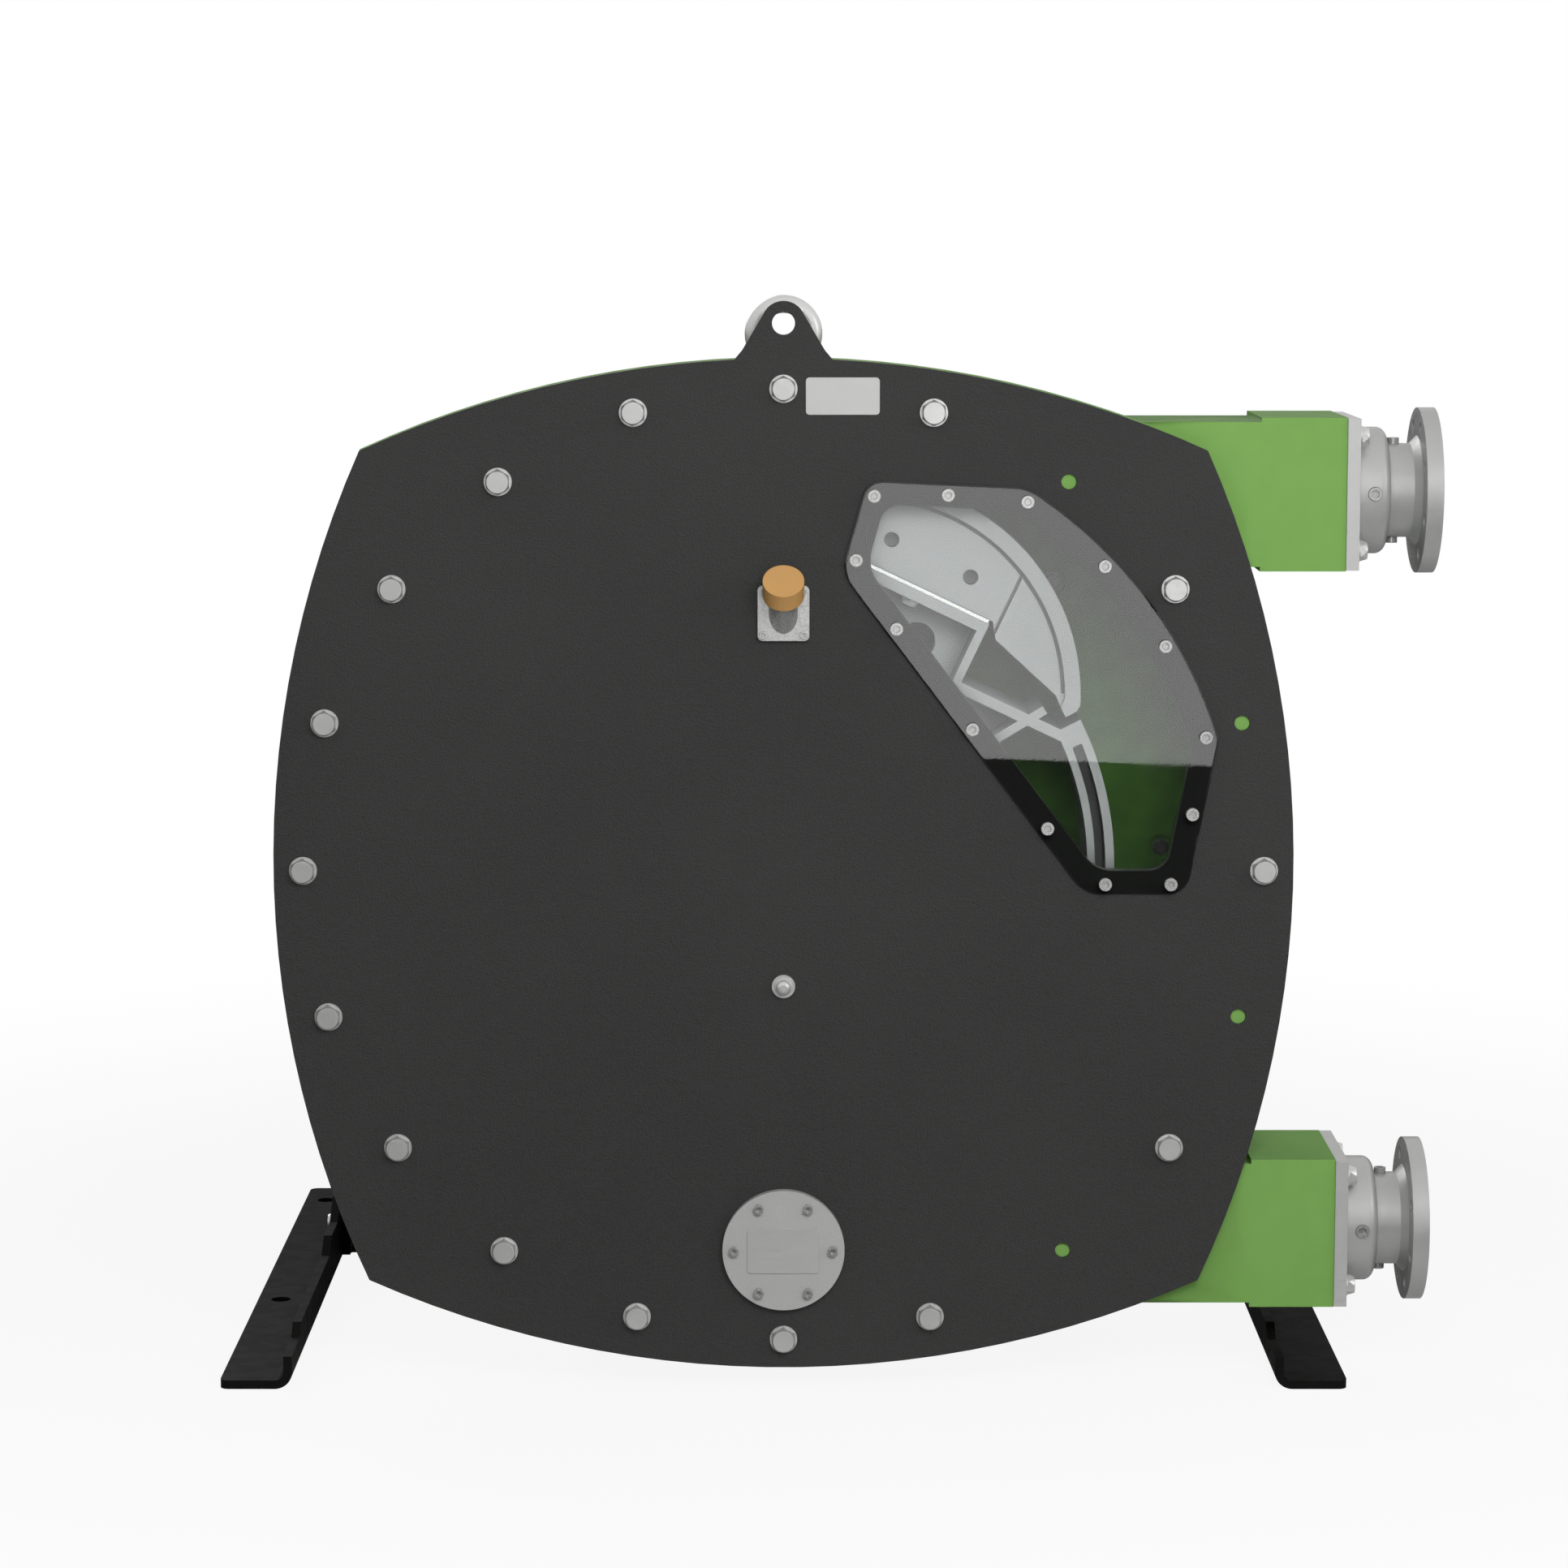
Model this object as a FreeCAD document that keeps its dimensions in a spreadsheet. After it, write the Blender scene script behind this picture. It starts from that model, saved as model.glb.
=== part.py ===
import FreeCAD, Part
import math
import os
import re
from types import SimpleNamespace

import Sketcher

# A large hose pump: a rotor with two shoes squeezes a U of thick hose round
# the wall of a casing, and the casing's front is shut by a cover with a window.
#
# Everything is drawn in pump coordinates: X to the ports, Y back from the
# cover's front face, Z up from the rotor axis. Each piece then gets a
# Placement that puts the origin on the floor, in the middle of the four
# foot holes. Turning pieces are drawn with their first shoe straight up and
# are turned by shoe_angle in their Placement.

os.makedirs("parts", exist_ok=True)

V = FreeCAD.Vector
X_AXIS = V(1, 0, 0)
Y_AXIS = V(0, 1, 0)
Z_AXIS = V(0, 0, 1)

SIZES = {
    # stance
    "axis_height": 710,        # rotor axis above the floor
    "foot_hole_front": 462,    # front foot holes, behind the cover's face
    "foot_hole_rear": 1100,    # rear foot holes, behind the cover's face
    # clearances
    "fit": 0.3,                # between neighbours with curved faces
    "running": 0.05,           # radial, between a shaft and its bearing
    # hose and the track that it lies in
    "hose_y": 116,             # middle plane of the hose
    "hose_arc_r": 507.3,
    "hose_r": 66.5,
    "hose_bore_r": 47.5,
    "cavity_r": "=hose_arc_r + hose_r + fit",
    # front cover
    "cover_margin": 100.4,     # from the track to the middle of a side
    "corner_drop": 120,        # a corner is that much nearer than a side
    "cover_reach": "=cavity_r + cover_margin",
    "cover_corner": "=cover_reach - corner_drop",
    "cover_thick": 18,
    "bolt_inset": 39.25,
    "cover_ring": "=cover_reach - bolt_inset",
    "cover_bolt_r": 10,
    "peg_deep": 5,             # casing pegs below the cover's face
    "lug_height": 45.5,
    "lug_rise": "=cover_reach + lug_height",
    "lug_r": 29,
    "lug_waist": 23.2,         # half width where the lug's top starts
    "lug_hole_r": 15,
    "lug_root": 64.5,          # half width where the lug meets the cover
    "lug_flare": 10.6,
    "gasket_thick": 2,
    "gasket_inset": 3,
    # window
    "window_top": "=cover_reach - 157.6",
    "window_top_x": 109.2,     # where the top side starts
    "window_fall": 2.6,        # degrees, of the top side to the right
    "window_left": 75,         # left corner
    "window_left_z": 395.2,
    "window_low": -30.3,
    "window_low_x": 396.9,     # lower side, from here
    "window_low_end": 532,     # to here
    "window_lean": 11.1,       # degrees, of the right side from upright
    "window_arc_r": "=cover_ring - 36.5",
    "window_sight_r": "=window_arc_r - 37",
    "window_rim": 31,          # straight rims round the sight opening
    "window_screw_inset": 14.4,
    "window_seal": 3,
    "pane_thick": 12,
    "pane_bevel": 2.5,
    "window_screw_r": 4.7,
    "window_head_r": 8.5,
    # casing
    "casing_inset": 26,        # casing wall inside the cover's edge
    "casing_reach": "=cover_reach - casing_inset",
    "casing_corner": "=cover_corner - casing_inset + 1.5",
    "flange_lip": 0.8,         # casing flange past the cover's edge
    "flange_thick": 24,
    "cavity_depth": 192,
    "back_wall": 18,
    "drum_wall": 14,
    "pocket_wide": 112,        # cored pockets in the left corners
    # ports
    "port_drop": 11.6,         # port axis nearer the rotor axis than the hose's arc
    "port_z": "=hose_arc_r - port_drop",
    "box_half": 95,            # port box, half height
    "box_depth_half": 90,
    "collar_start": "=cover_reach - 48.1",
    "collar_long": 113.1,
    "collar_end": "=collar_start + collar_long",
    "collar_half": 101,
    "collar_step": 5,          # collar past the box, front and back
    "split_wall": 8.1035,      # casing between the cavity and a port box node
    "split_row": "=port_z - collar_half",
    "split_x": "=sqrt(cavity_r * cavity_r - split_row * split_row) + split_wall",
    "hose_end": "=collar_end - 4.5",
    "bend_end": "=collar_start - 106.4",
    "bend_start": "=bend_end - 300",
    "channel_run": "=bend_start + 130",
    "clamp_thick": 17,
    "clamp_half": 99.5,
    "clamp_bolt_at": 75,
    "hub_r": 84.3,
    "hub_long": 44,
    "hub_round": 13,
    "insert_r": 58,
    "liner_start": "=hose_end - 135",
    "liner_bore_r": 44.5,
    "neck_r": 62.5,
    "neck_round": 10,
    "flange_face": "=collar_end + 125.7",
    "port_flange_thick": 22,
    "port_flange_r": 110,
    "port_bore_r": 50,
    "port_ring": 90,           # radius of the flange's bolt circle
    "port_hole_r": 9,
    # service cover
    "service_inset": 62.6,     # centre of the opening from the track
    "service_z": "=service_inset - cavity_r",
    "service_r": 81.5,
    "service_thick": 12,
    "service_ring": 66,
    "service_hole_r": 55,
    # blank plates
    "blank_thick": 1.5,
    "blank_corner_r": 5,
    "cover_blank_top": "=cover_reach - 24.5",
    "cover_blank_low": "=cover_blank_top - 48.6",
    "cover_blank_left": 29.2,
    "cover_blank_wide": 96.3,
    "service_blank_wide": 96.6,
    "service_blank_high": 62,
    # filler
    "filler_z": 342,
    "filler_wide": 68,
    "filler_high": 72.7,
    "filler_thick": 8,
    "filler_pipe_r": 19,
    "filler_bore_r": 15,
    "filler_long": 66,         # plate to the top of the cap, along the pipe
    "cap_r": 27,
    "cap_high": 29,
    "cap_top": 4.7,
    # level plug
    "level_z": -155,
    # rotor and shoes
    "shoe_angle": 25.4,        # first shoe, clockwise from straight up
    "rotor_front": 40,
    "rotor_wide": 152,
    "rotor_rim_r": "=cavity_r - 2 * hose_r - 1.1",
    "rotor_rim_inner": "=rotor_rim_r - 36",
    "rim_groove_inner": "=rotor_rim_r - 25.5",
    "rim_groove_outer": "=rotor_rim_r - 12",
    "rim_groove_deep": 50,
    "hub_outer_r": 150,
    "web_thick": 24,
    "rib": 12,
    "seat_half": 107,
    "seat_top": "=rotor_rim_r - 31",
    "seat_thick": 15,
    "bar_top": "=seat_top - 85.7",
    "bar_thick": 14.3,
    "bar_end": 248,
    "tip_u": 271,
    "web_hole_r": 25,
    "spoke_angle": 33.4,
    "shim_thick": 1.5,
    "shim_count": 3,
    "squeeze": 36.1,           # room left for the hose under a shoe
    "shoe_r": 285,
    "shoe_centre": "=cavity_r - squeeze - shoe_r",
    "shoe_wide": 150,
    "shoe_band": 21,           # rim band round the shoe's face
    "shoe_recess": 4,
    "shoe_groove": 5,
    "shoe_hole_at": 57.8,      # blind holes either side of the middle
    "shoe_hole_rise": 40.7,
    "shoe_hole_r": 10,
    "shoe_bolt_apart": 84,
    # shaft and bearings
    "shaft_r": 45,
    "shaft_front": 60,
    "shaft_end": 560,
    "key_half": 12.5,
    "key_sunk": 9.5,
    "key_start": 80,
    "key_long": 100,
    "hub_cap_r": 70,
    "hub_cap_thick": 12,
    "seal_r": 60,
    "seal_wide": 14,
    "bearing_r": 80,
    "bearing_wide": 40,
    "spigot_r": 110,
    "housing_flange_r": 200,
    "housing_flange": 24,
    "housing_ring": 175,       # radius of the bolt circle
    "housing_r": 130,
    "housing_end": 452,
    # support
    "frame_disc_r": "=cavity_r - 38.1",
    "frame_disc_thick": 20,
    "back_ring": "=frame_disc_r - 19",   # radius of the back-wall bolt circle
    "gusset_x": 300,
    "plate": 12,               # frame and foot sheet
    "bar_low": 20,             # frame bars above the floor
    "bar_high": 106,
    "frame_end_start": 700,
    "frame_end_long": 420,
    "foot_web_x": "=cover_reach - 12.5",
    "foot_outer_x": "=foot_web_x + 98",
    "foot_front": 20,
    "foot_rear": 1185,
    "foot_hole_x": "=foot_web_x + 65",
    "foot_hole_r": 14,
    "foot_bend": 12,           # inner bend radius
    "foot_corner_r": 12,
    # lifting eye
    "boss_rise": 1.5,
    "boss_half": 45,
    "boss_top": "=casing_reach + boss_rise",
    "eye_seat": 53,
    "eye_rise": "=boss_top + eye_seat",
    "eye_ring_r": 39.5,
    "eye_wire_r": 12,
    "eye_foot_r": 32,
    "eye_stud_r": 15,
    "eye_stud_long": 42,
    # gear unit and motor
    "gear_r": 165,
    "gear_end": 640,
    "gear_flange_r": 170,
    "gear_flange": 22,
    "gear_ring": 150,          # radius of the bolt circle
    "motor_r": 104,
    "motor_fin": 16,
    "motor_fin_thick": 3,
    "motor_front": 668,
    "motor_end": 950,
    "motor_shaft_r": 14,
    "terminal_half": 60,
    "terminal_high": 70,
    "terminal_start": 740,
    "terminal_end": 860,
    "cowl_end": 1045,
    "cowl_skin": 2.5,
    "cowl_hole_r": 4.5,
    "fan_hub_r": 26,
    "fan_long": 36,
}

doc = FreeCAD.newDocument("hose_pump")
sheet = doc.addObject("Spreadsheet::Sheet", "sizes")
for row, (alias, number) in enumerate(SIZES.items(), start=1):
    sheet.set(f"A{row}", alias)
    sheet.set(f"B{row}", str(number))
    sheet.setAlias(f"B{row}", alias)
doc.recompute()
S = SimpleNamespace(**{alias: float(sheet.get(alias)) for alias in SIZES})

WORD = re.compile(r"[a-z_][a-z0-9_]*")
ORIGIN_Y = "-(foot_hole_front + foot_hole_rear) / 2"
NODES = []


# ---------------------------------------------------------------- helpers

def bind(obj, prop, text):
    """Bind a property to a formula written with the sheet's aliases."""
    def cell(match):
        word = match.group()
        return "sizes." + word if word in SIZES else word
    obj.setExpression(prop, WORD.sub(cell, str(text)))


def move(obj, x, y, z):
    """Bind the three coordinates of an object's Placement."""
    bind(obj, "Placement.Base.x", x)
    bind(obj, "Placement.Base.y", y)
    bind(obj, "Placement.Base.z", z)


def cylinder(name, radius, start, length, x=0, z=0):
    """Cylinder that runs back from Y = start."""
    obj = doc.addObject("Part::Cylinder", name)
    obj.Placement.Rotation = FreeCAD.Rotation(X_AXIS, -90)
    bind(obj, "Radius", radius)
    bind(obj, "Height", length)
    move(obj, x, start, z)
    return obj


def cylinder_x(name, radius, start, length, y=0, z=0):
    """Cylinder that runs to the right from X = start."""
    obj = doc.addObject("Part::Cylinder", name)
    obj.Placement.Rotation = FreeCAD.Rotation(Y_AXIS, 90)
    bind(obj, "Radius", radius)
    bind(obj, "Height", length)
    move(obj, start, y, z)
    return obj


def cylinder_z(name, radius, start, length, x=0, y=0):
    """Cylinder that runs up from Z = start."""
    obj = doc.addObject("Part::Cylinder", name)
    bind(obj, "Radius", radius)
    bind(obj, "Height", length)
    move(obj, x, y, start)
    return obj


def box(name, x, y, z):
    """Box between two formulas along each axis."""
    obj = doc.addObject("Part::Box", name)
    for prop, (low, high) in zip(("Length", "Width", "Height"), (x, y, z)):
        bind(obj, prop, f"({high}) - ({low})")
    move(obj, x[0], y[0], z[0])
    return obj


def solid(name, shape):
    """A shape made with Part's own functions, as an object with no Placement yet."""
    obj = doc.addObject("Part::Feature", name)
    obj.Shape = shape if shape.Placement.isIdentity() else Part.makeCompound([shape])
    return obj


def fuse(name, *items):
    """Union of objects."""
    obj = doc.addObject("Part::MultiFuse", name)
    obj.Shapes = list(items)
    obj.Refine = True
    return obj


def cut(name, base, *tools):
    """Base less one or more tools."""
    tool = tools[0] if len(tools) == 1 else fuse(name + "_tools", *tools)
    obj = doc.addObject("Part::Cut", name)
    obj.Base = base
    obj.Tool = tool
    return obj


def common(name, *items):
    """What objects share."""
    obj = doc.addObject("Part::MultiCommon", name)
    obj.Shapes = list(items)
    return obj


def node(label, obj, turns=False):
    """Enter a finished piece, placed in the part's own frame."""
    if obj.TypeId in ("Part::Cylinder", "Part::Box"):
        wrap = doc.addObject("Part::Compound", label)
        wrap.Links = [obj]
        obj = wrap
    obj.Label = label
    if turns:
        obj.Placement.Rotation = FreeCAD.Rotation(Y_AXIS, S.shoe_angle)
        bind(obj, "Placement.Rotation.Angle", "shoe_angle")
    move(obj, 0, ORIGIN_Y, "axis_height")
    NODES.append(obj)
    return obj


# ------------------------------------------------------- outlines in X and Z

def line(a, b):
    """Straight edge of an outline."""
    return Part.LineSegment(V(a[0], a[1], 0), V(b[0], b[1], 0))


def arc(a, middle, b):
    """Edge of an outline bent through a middle point."""
    return Part.Arc(V(a[0], a[1], 0), V(middle[0], middle[1], 0), V(b[0], b[1], 0))


def loop(points):
    """Closed outline of straight edges."""
    return [line(a, b) for a, b in zip(points, points[1:] + points[:1])]


def rectangle(x0, x1, z0, z1):
    """Closed rectangle."""
    return loop([(x0, z0), (x1, z0), (x1, z1), (x0, z1)])


def circle(x, z, radius):
    """Closed circle."""
    return [Part.Circle(V(x, z, 0), V(0, 0, 1), radius)]


def polar(radius, angle):
    """Point at a radius and a clockwise angle from straight up."""
    turn = math.radians(angle)
    return (radius * math.sin(turn), radius * math.cos(turn))


def ring_spots(radius, count, start=0.0, x=0.0, z=0.0):
    """Evenly spaced points on a circle."""
    spots = [polar(radius, start + 360.0 * i / count) for i in range(count)]
    return [(x + u, z + w) for u, w in spots]


def barrel(reach, corner):
    """Square with four bulged sides."""
    return [
        arc((corner, corner), (0, reach), (-corner, corner)),
        arc((-corner, corner), (-reach, 0), (-corner, -corner)),
        arc((-corner, -corner), (0, -reach), (corner, -corner)),
        arc((corner, -corner), (reach, 0), (corner, corner)),
    ]


def rounded(points, radii):
    """Closed outline of straight edges with each corner rounded."""
    count = len(points)
    starts, ends, middles = [], [], []
    for i in range(count):
        before, here, after = points[i - 1], points[i], points[(i + 1) % count]
        p = FreeCAD.Vector(here[0], here[1], 0)
        a = (V(before[0], before[1], 0) - p).normalize()
        b = (V(after[0], after[1], 0) - p).normalize()
        half = a.getAngle(b) / 2
        reach = radii[i] / math.tan(half)
        centre = p + (a + b).normalize() * (radii[i] / math.sin(half))
        starts.append(p + a * reach)
        ends.append(p + b * reach)
        middles.append(centre + (p - centre).normalize() * radii[i])
    edges = []
    for i in range(count):
        edges.append(Part.Arc(starts[i], middles[i], ends[i]))
        edges.append(Part.LineSegment(ends[i], starts[(i + 1) % count]))
    return edges


def rounded_plate(x0, x1, z0, z1):
    """Outline of a blank plate."""
    return rounded([(x0, z0), (x1, z0), (x1, z1), (x0, z1)], [S.blank_corner_r] * 4)


class Plate:
    """A PartDesign body padded and pocketed along Y from outlines in X and Z."""

    def __init__(self, name):
        self.body = doc.addObject("PartDesign::Body", name)
        self.body.AllowCompound = True
        self.name = name
        self.count = 0
        self.plane = next(
            f for f in self.body.Origin.OriginFeatures if f.Role == "XZ_Plane"
        )

    def sketch(self, loops, start):
        """Sketch on the X-Z plane, moved back to Y = start."""
        self.count += 1
        drawing = self.body.newObject("Sketcher::SketchObject", f"{self.name}_sketch{self.count}")
        drawing.AttachmentSupport = [(self.plane, "")]
        drawing.MapMode = "FlatFace"
        bind(drawing, "AttachmentOffset.Base.z", f"-({start})")
        for edges in loops:
            drawing.addGeometry(edges, False)
        return drawing

    def rounds(self, spots, radius, start):
        """Sketch of equal circles whose radius is bound to the sheet."""
        drawing = self.sketch([circle(x, z, 1.0) for x, z in spots], start)
        drawing.addConstraint(Sketcher.Constraint("Radius", 0, 1.0))
        bind(drawing, "Constraints[0]", radius)
        for i in range(1, len(spots)):
            drawing.addConstraint(Sketcher.Constraint("Equal", 0, i))
        return drawing

    def grow(self, kind, drawing, length):
        """Pad or pocket that runs back from its sketch."""
        feature = self.body.newObject(kind, f"{self.name}_step{self.count}")
        feature.Profile = drawing
        bind(feature, "Length", length)
        feature.Reversed = kind.endswith("Pad")
        drawing.Visibility = False
        self.body.Tip = feature
        return feature

    def pad(self, loops, start, length):
        """Add material from Y = start back over a length."""
        self.grow("PartDesign::Pad", self.sketch(loops, start), length)
        return self

    def pocket(self, loops, start, length):
        """Take material away from Y = start back over a length."""
        self.grow("PartDesign::Pocket", self.sketch(loops, start), length)
        return self

    def disc(self, spots, radius, start, length):
        """Add round material with a bound radius."""
        self.grow("PartDesign::Pad", self.rounds(spots, radius, start), length)
        return self

    def drill(self, spots, radius, start, length):
        """Drill round holes with a bound radius."""
        self.grow("PartDesign::Pocket", self.rounds(spots, radius, start), length)
        return self


# ------------------------------------------------------------- fasteners
# A fastener is drawn on the Y axis: its seat is at the origin, its head in
# front of the seat (negative Y) and its shank behind it.

M20 = (30, 12.5, 10)       # flats, head and shank radius
M16 = (24, 10, 8)
M12 = (18, 7.5, 6)
M12_THIN = (18, 6.5, 6)
M8_R = 4
M6_R = 3
WASHER = 3
THIN_WASHER = 1.5


def hexagon(flats, start, length):
    """Hexagonal prism along Y."""
    across = flats / math.sqrt(3)
    corners = [V(u, start, w) for u, w in ring_spots(across, 6)]
    face = Part.Face(Part.makePolygon(corners + corners[:1]))
    return face.extrude(V(0, length, 0))


def rod(radius, start, length):
    """Cylinder along Y."""
    return Part.makeCylinder(radius, length, V(0, start, 0), Y_AXIS)


def hex_bolt(flats, head, radius, shank, washer=0.0):
    """Hexagon bolt whose head starts on top of a washer."""
    top = hexagon(flats, -head - washer, head)
    crown = Part.makeCone(flats * 0.47, flats * 0.6, head, V(0, -head - washer, 0), Y_AXIS)
    return top.common(crown).fuse(rod(radius, -washer, shank + washer)).removeSplitter()


def socket_screw(head_r, head, radius, shank):
    """Cap screw with a hexagon socket."""
    socket = hexagon(head_r * 0.95, -head, head * 0.6)
    return rod(head_r, -head, head).cut(socket).fuse(rod(radius, 0, shank)).removeSplitter()


def washer(outer, inner, thick):
    """Washer in front of its seat."""
    return rod(outer, -thick, thick).cut(rod(inner, -thick, thick))


def placed(shape, places, direction=Y_AXIS):
    """Compound of copies of a shape, seated at points along a direction."""
    turn = FreeCAD.Rotation(Y_AXIS, direction)
    out = []
    for point in places:
        item = shape.copy()
        item.Placement = FreeCAD.Placement(V(*point), turn).multiply(item.Placement)
        out.append(item)
    return Part.makeCompound(out)


def drills(radius, length, places, direction=Y_AXIS):
    """Compound of straight holes that start at points."""
    return placed(rod(radius, 0, length), places, direction)


def at_depth(spots, depth):
    """Points in X and Z at one Y."""
    return [(x, depth, z) for x, z in spots]


# ------------------------------------------------------------------ cover

BOLT_SPOTS = ring_spots(S.cover_ring, 20)
EMPTY_HOLES = (2, 4, 6, 8)
FITTED_SPOTS = [spot for i, spot in enumerate(BOLT_SPOTS) if i not in EMPTY_HOLES]
SERVICE_SPOTS = ring_spots(S.service_ring, 6, 30, 0, S.service_z)
FILLER_SPOTS = [
    (side * (S.filler_wide / 2 - 7.5), S.filler_z + step * (S.filler_high / 2 - 7.8))
    for side in (-1, 1) for step in (-1, 1)
]


def lug():
    """Outline of the lifting lug, from inside the cover up over its top."""
    waist, flare = S.lug_waist, S.lug_flare
    brow = S.lug_rise + math.sqrt(S.lug_r ** 2 - waist ** 2)
    foot = S.cover_reach + flare
    root = S.cover_reach - 2
    inside = root - 30
    return [
        arc((waist, brow), (0, S.lug_rise + S.lug_r), (-waist, brow)),
        line((-waist, brow), (-S.lug_root + flare, foot)),
        line((-S.lug_root + flare, foot), (-S.lug_root, root)),
        line((-S.lug_root, root), (-S.lug_root, inside)),
        line((-S.lug_root, inside), (S.lug_root, inside)),
        line((S.lug_root, inside), (S.lug_root, root)),
        line((S.lug_root, root), (S.lug_root - flare, foot)),
        line((S.lug_root - flare, foot), (waist, brow)),
    ]


WINDOW_ROUNDS = (27, 50, 44, 30, 5)     # at the corners, from the top side's start
WINDOW_ARC_ROUNDS = (60, 14)            # where the arc meets the top and the right side
ARC_SCREWS = (33.1, 46.1, 59.1, 72.1)   # clockwise angles of the screws along the arc
SIDE_SCREWS = ((95,), (15, 102), (95, 261, 426), (20.5, 107), (95,))


def window_corners(inset):
    """Corners of the window's straight sides, moved inwards, the last one past the arc."""
    fall = math.tan(math.radians(S.window_fall))
    lean = math.tan(math.radians(S.window_lean))
    high = S.window_top - S.window_low
    run = S.window_low_end - S.window_top_x
    rise = (high - fall * run) / (1 + fall * lean)
    corners = [
        V(S.window_top_x, S.window_top, 0),
        V(S.window_left, S.window_left_z, 0),
        V(S.window_low_x, S.window_low, 0),
        V(S.window_low_end, S.window_low, 0),
        V(S.window_low_end + rise * lean, S.window_low + rise, 0),
    ]
    moved = []
    for i, here in enumerate(corners):
        before, after = corners[i - 1], corners[(i + 1) % len(corners)]
        come, go = (here - before).normalize(), (after - here).normalize()
        half = (math.pi - come.getAngle(go)) / 2
        moved.append(here + (go - come).normalize() * (inset / math.sin(half)))
    return [(point.x, point.y) for point in moved]


def window_shape(name, inset, arc_radius, start, length):
    """Window outline as a solid: straight sides cut by the arc, then rounded."""
    body = Plate(name + "_sides")
    body.pad([rounded(window_corners(inset), WINDOW_ROUNDS)], start, length)
    limit = cylinder(name + "_arc", arc_radius, start, length)
    rough = common(name + "_rough", body.body, limit)
    doc.recompute()
    smooth = doc.addObject("Part::Fillet", name)
    smooth.Base = rough
    picks = []
    for index, edge in enumerate(rough.Shape.Edges, start=1):
        a, b = edge.Vertexes[0].Point, edge.Vertexes[-1].Point
        upright = abs(a.x - b.x) < 1e-6 and abs(a.z - b.z) < 1e-6
        on_arc = abs(math.hypot(a.x, a.z) - float(limit.Radius)) < 0.01
        if upright and on_arc:
            radius = WINDOW_ARC_ROUNDS[0 if a.z > S.window_top / 2 else 1]
            picks.append((index, radius, radius))
    smooth.Edges = picks
    return smooth


def window_spots():
    """Screws in the window's rim: along each straight side, then along the arc."""
    corners = [V(x, z, 0) for x, z in window_corners(S.window_screw_inset)]
    ends = [(0, 4), (1, 0), (1, 2), (2, 3), (3, 4)]
    spots = []
    for (start, end), reaches in zip(ends, SIDE_SCREWS):
        along = (corners[end] - corners[start]).normalize()
        spots += [corners[start] + along * reach for reach in reaches]
    arc_ring = S.window_arc_r - S.window_screw_inset - 1
    return [(p.x, p.y) for p in spots] + [polar(arc_ring, angle) for angle in ARC_SCREWS]


def cover_plate(name, start, thick, shrink=0.0):
    """Barrel-square plate with the bolt holes, as a body."""
    outline = barrel(S.cover_reach - shrink, S.cover_corner - shrink)
    plate = Plate(name).pad([outline], start, thick)
    return plate


def make_cover():
    """Front cover, its gasket, its bolts and the blank plate on it."""
    cover = cover_plate("cover_body", 0, "cover_thick")
    cover.pad([lug()], 0, "cover_thick")
    cover.drill(BOLT_SPOTS, "cover_bolt_r + fit", 0, "cover_thick")
    cover.drill([(0, S.lug_rise)], "lug_hole_r", 0, "cover_thick")
    cover.drill([(0, S.service_z)], "service_hole_r", 0, "cover_thick")
    cover.drill([(0, S.filler_z)], "filler_bore_r", 0, "cover_thick")
    cover.drill([(0, S.level_z)], f"{LEVEL_NECK_R} + fit", 0, "cover_thick")
    small = SERVICE_SPOTS + FILLER_SPOTS
    cover.drill(small, f"{M8_R} + fit", 0, "cover_thick * 0.8")
    cover.drill(window_spots(), "window_screw_r + fit", 0, "cover_thick * 0.8")
    sight = window_shape("sight", S.window_rim, "window_sight_r", -1, "cover_thick + 2")
    node("front_cover", cut("front_cover", cover.body, sight))

    seal = cover_plate("cover_gasket", "cover_thick", "gasket_thick", S.gasket_inset)
    seal.drill([(0, 0)], "cavity_r", "cover_thick", "gasket_thick")
    seal.drill(BOLT_SPOTS, "cover_bolt_r + 2 * fit", "cover_thick", "gasket_thick")
    node("cover_gasket", seal.body)

    bolt = hex_bolt(*M20, S.cover_thick + S.gasket_thick + 38, WASHER)
    node("cover_bolts", solid("cover_bolts", placed(bolt, at_depth(FITTED_SPOTS, 0))))
    ring = washer(18.4, S.cover_bolt_r + S.fit, WASHER)
    node("cover_washers", solid("cover_washers", placed(ring, at_depth(FITTED_SPOTS, 0))))

    blank = Plate("cover_blank_plate")
    left, low, high = S.cover_blank_left, S.cover_blank_low, S.cover_blank_top
    blank.pad([rounded_plate(left, left + S.cover_blank_wide, low, high)], "-blank_thick",
              "blank_thick")
    node("cover_blank_plate", blank.body)


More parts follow.
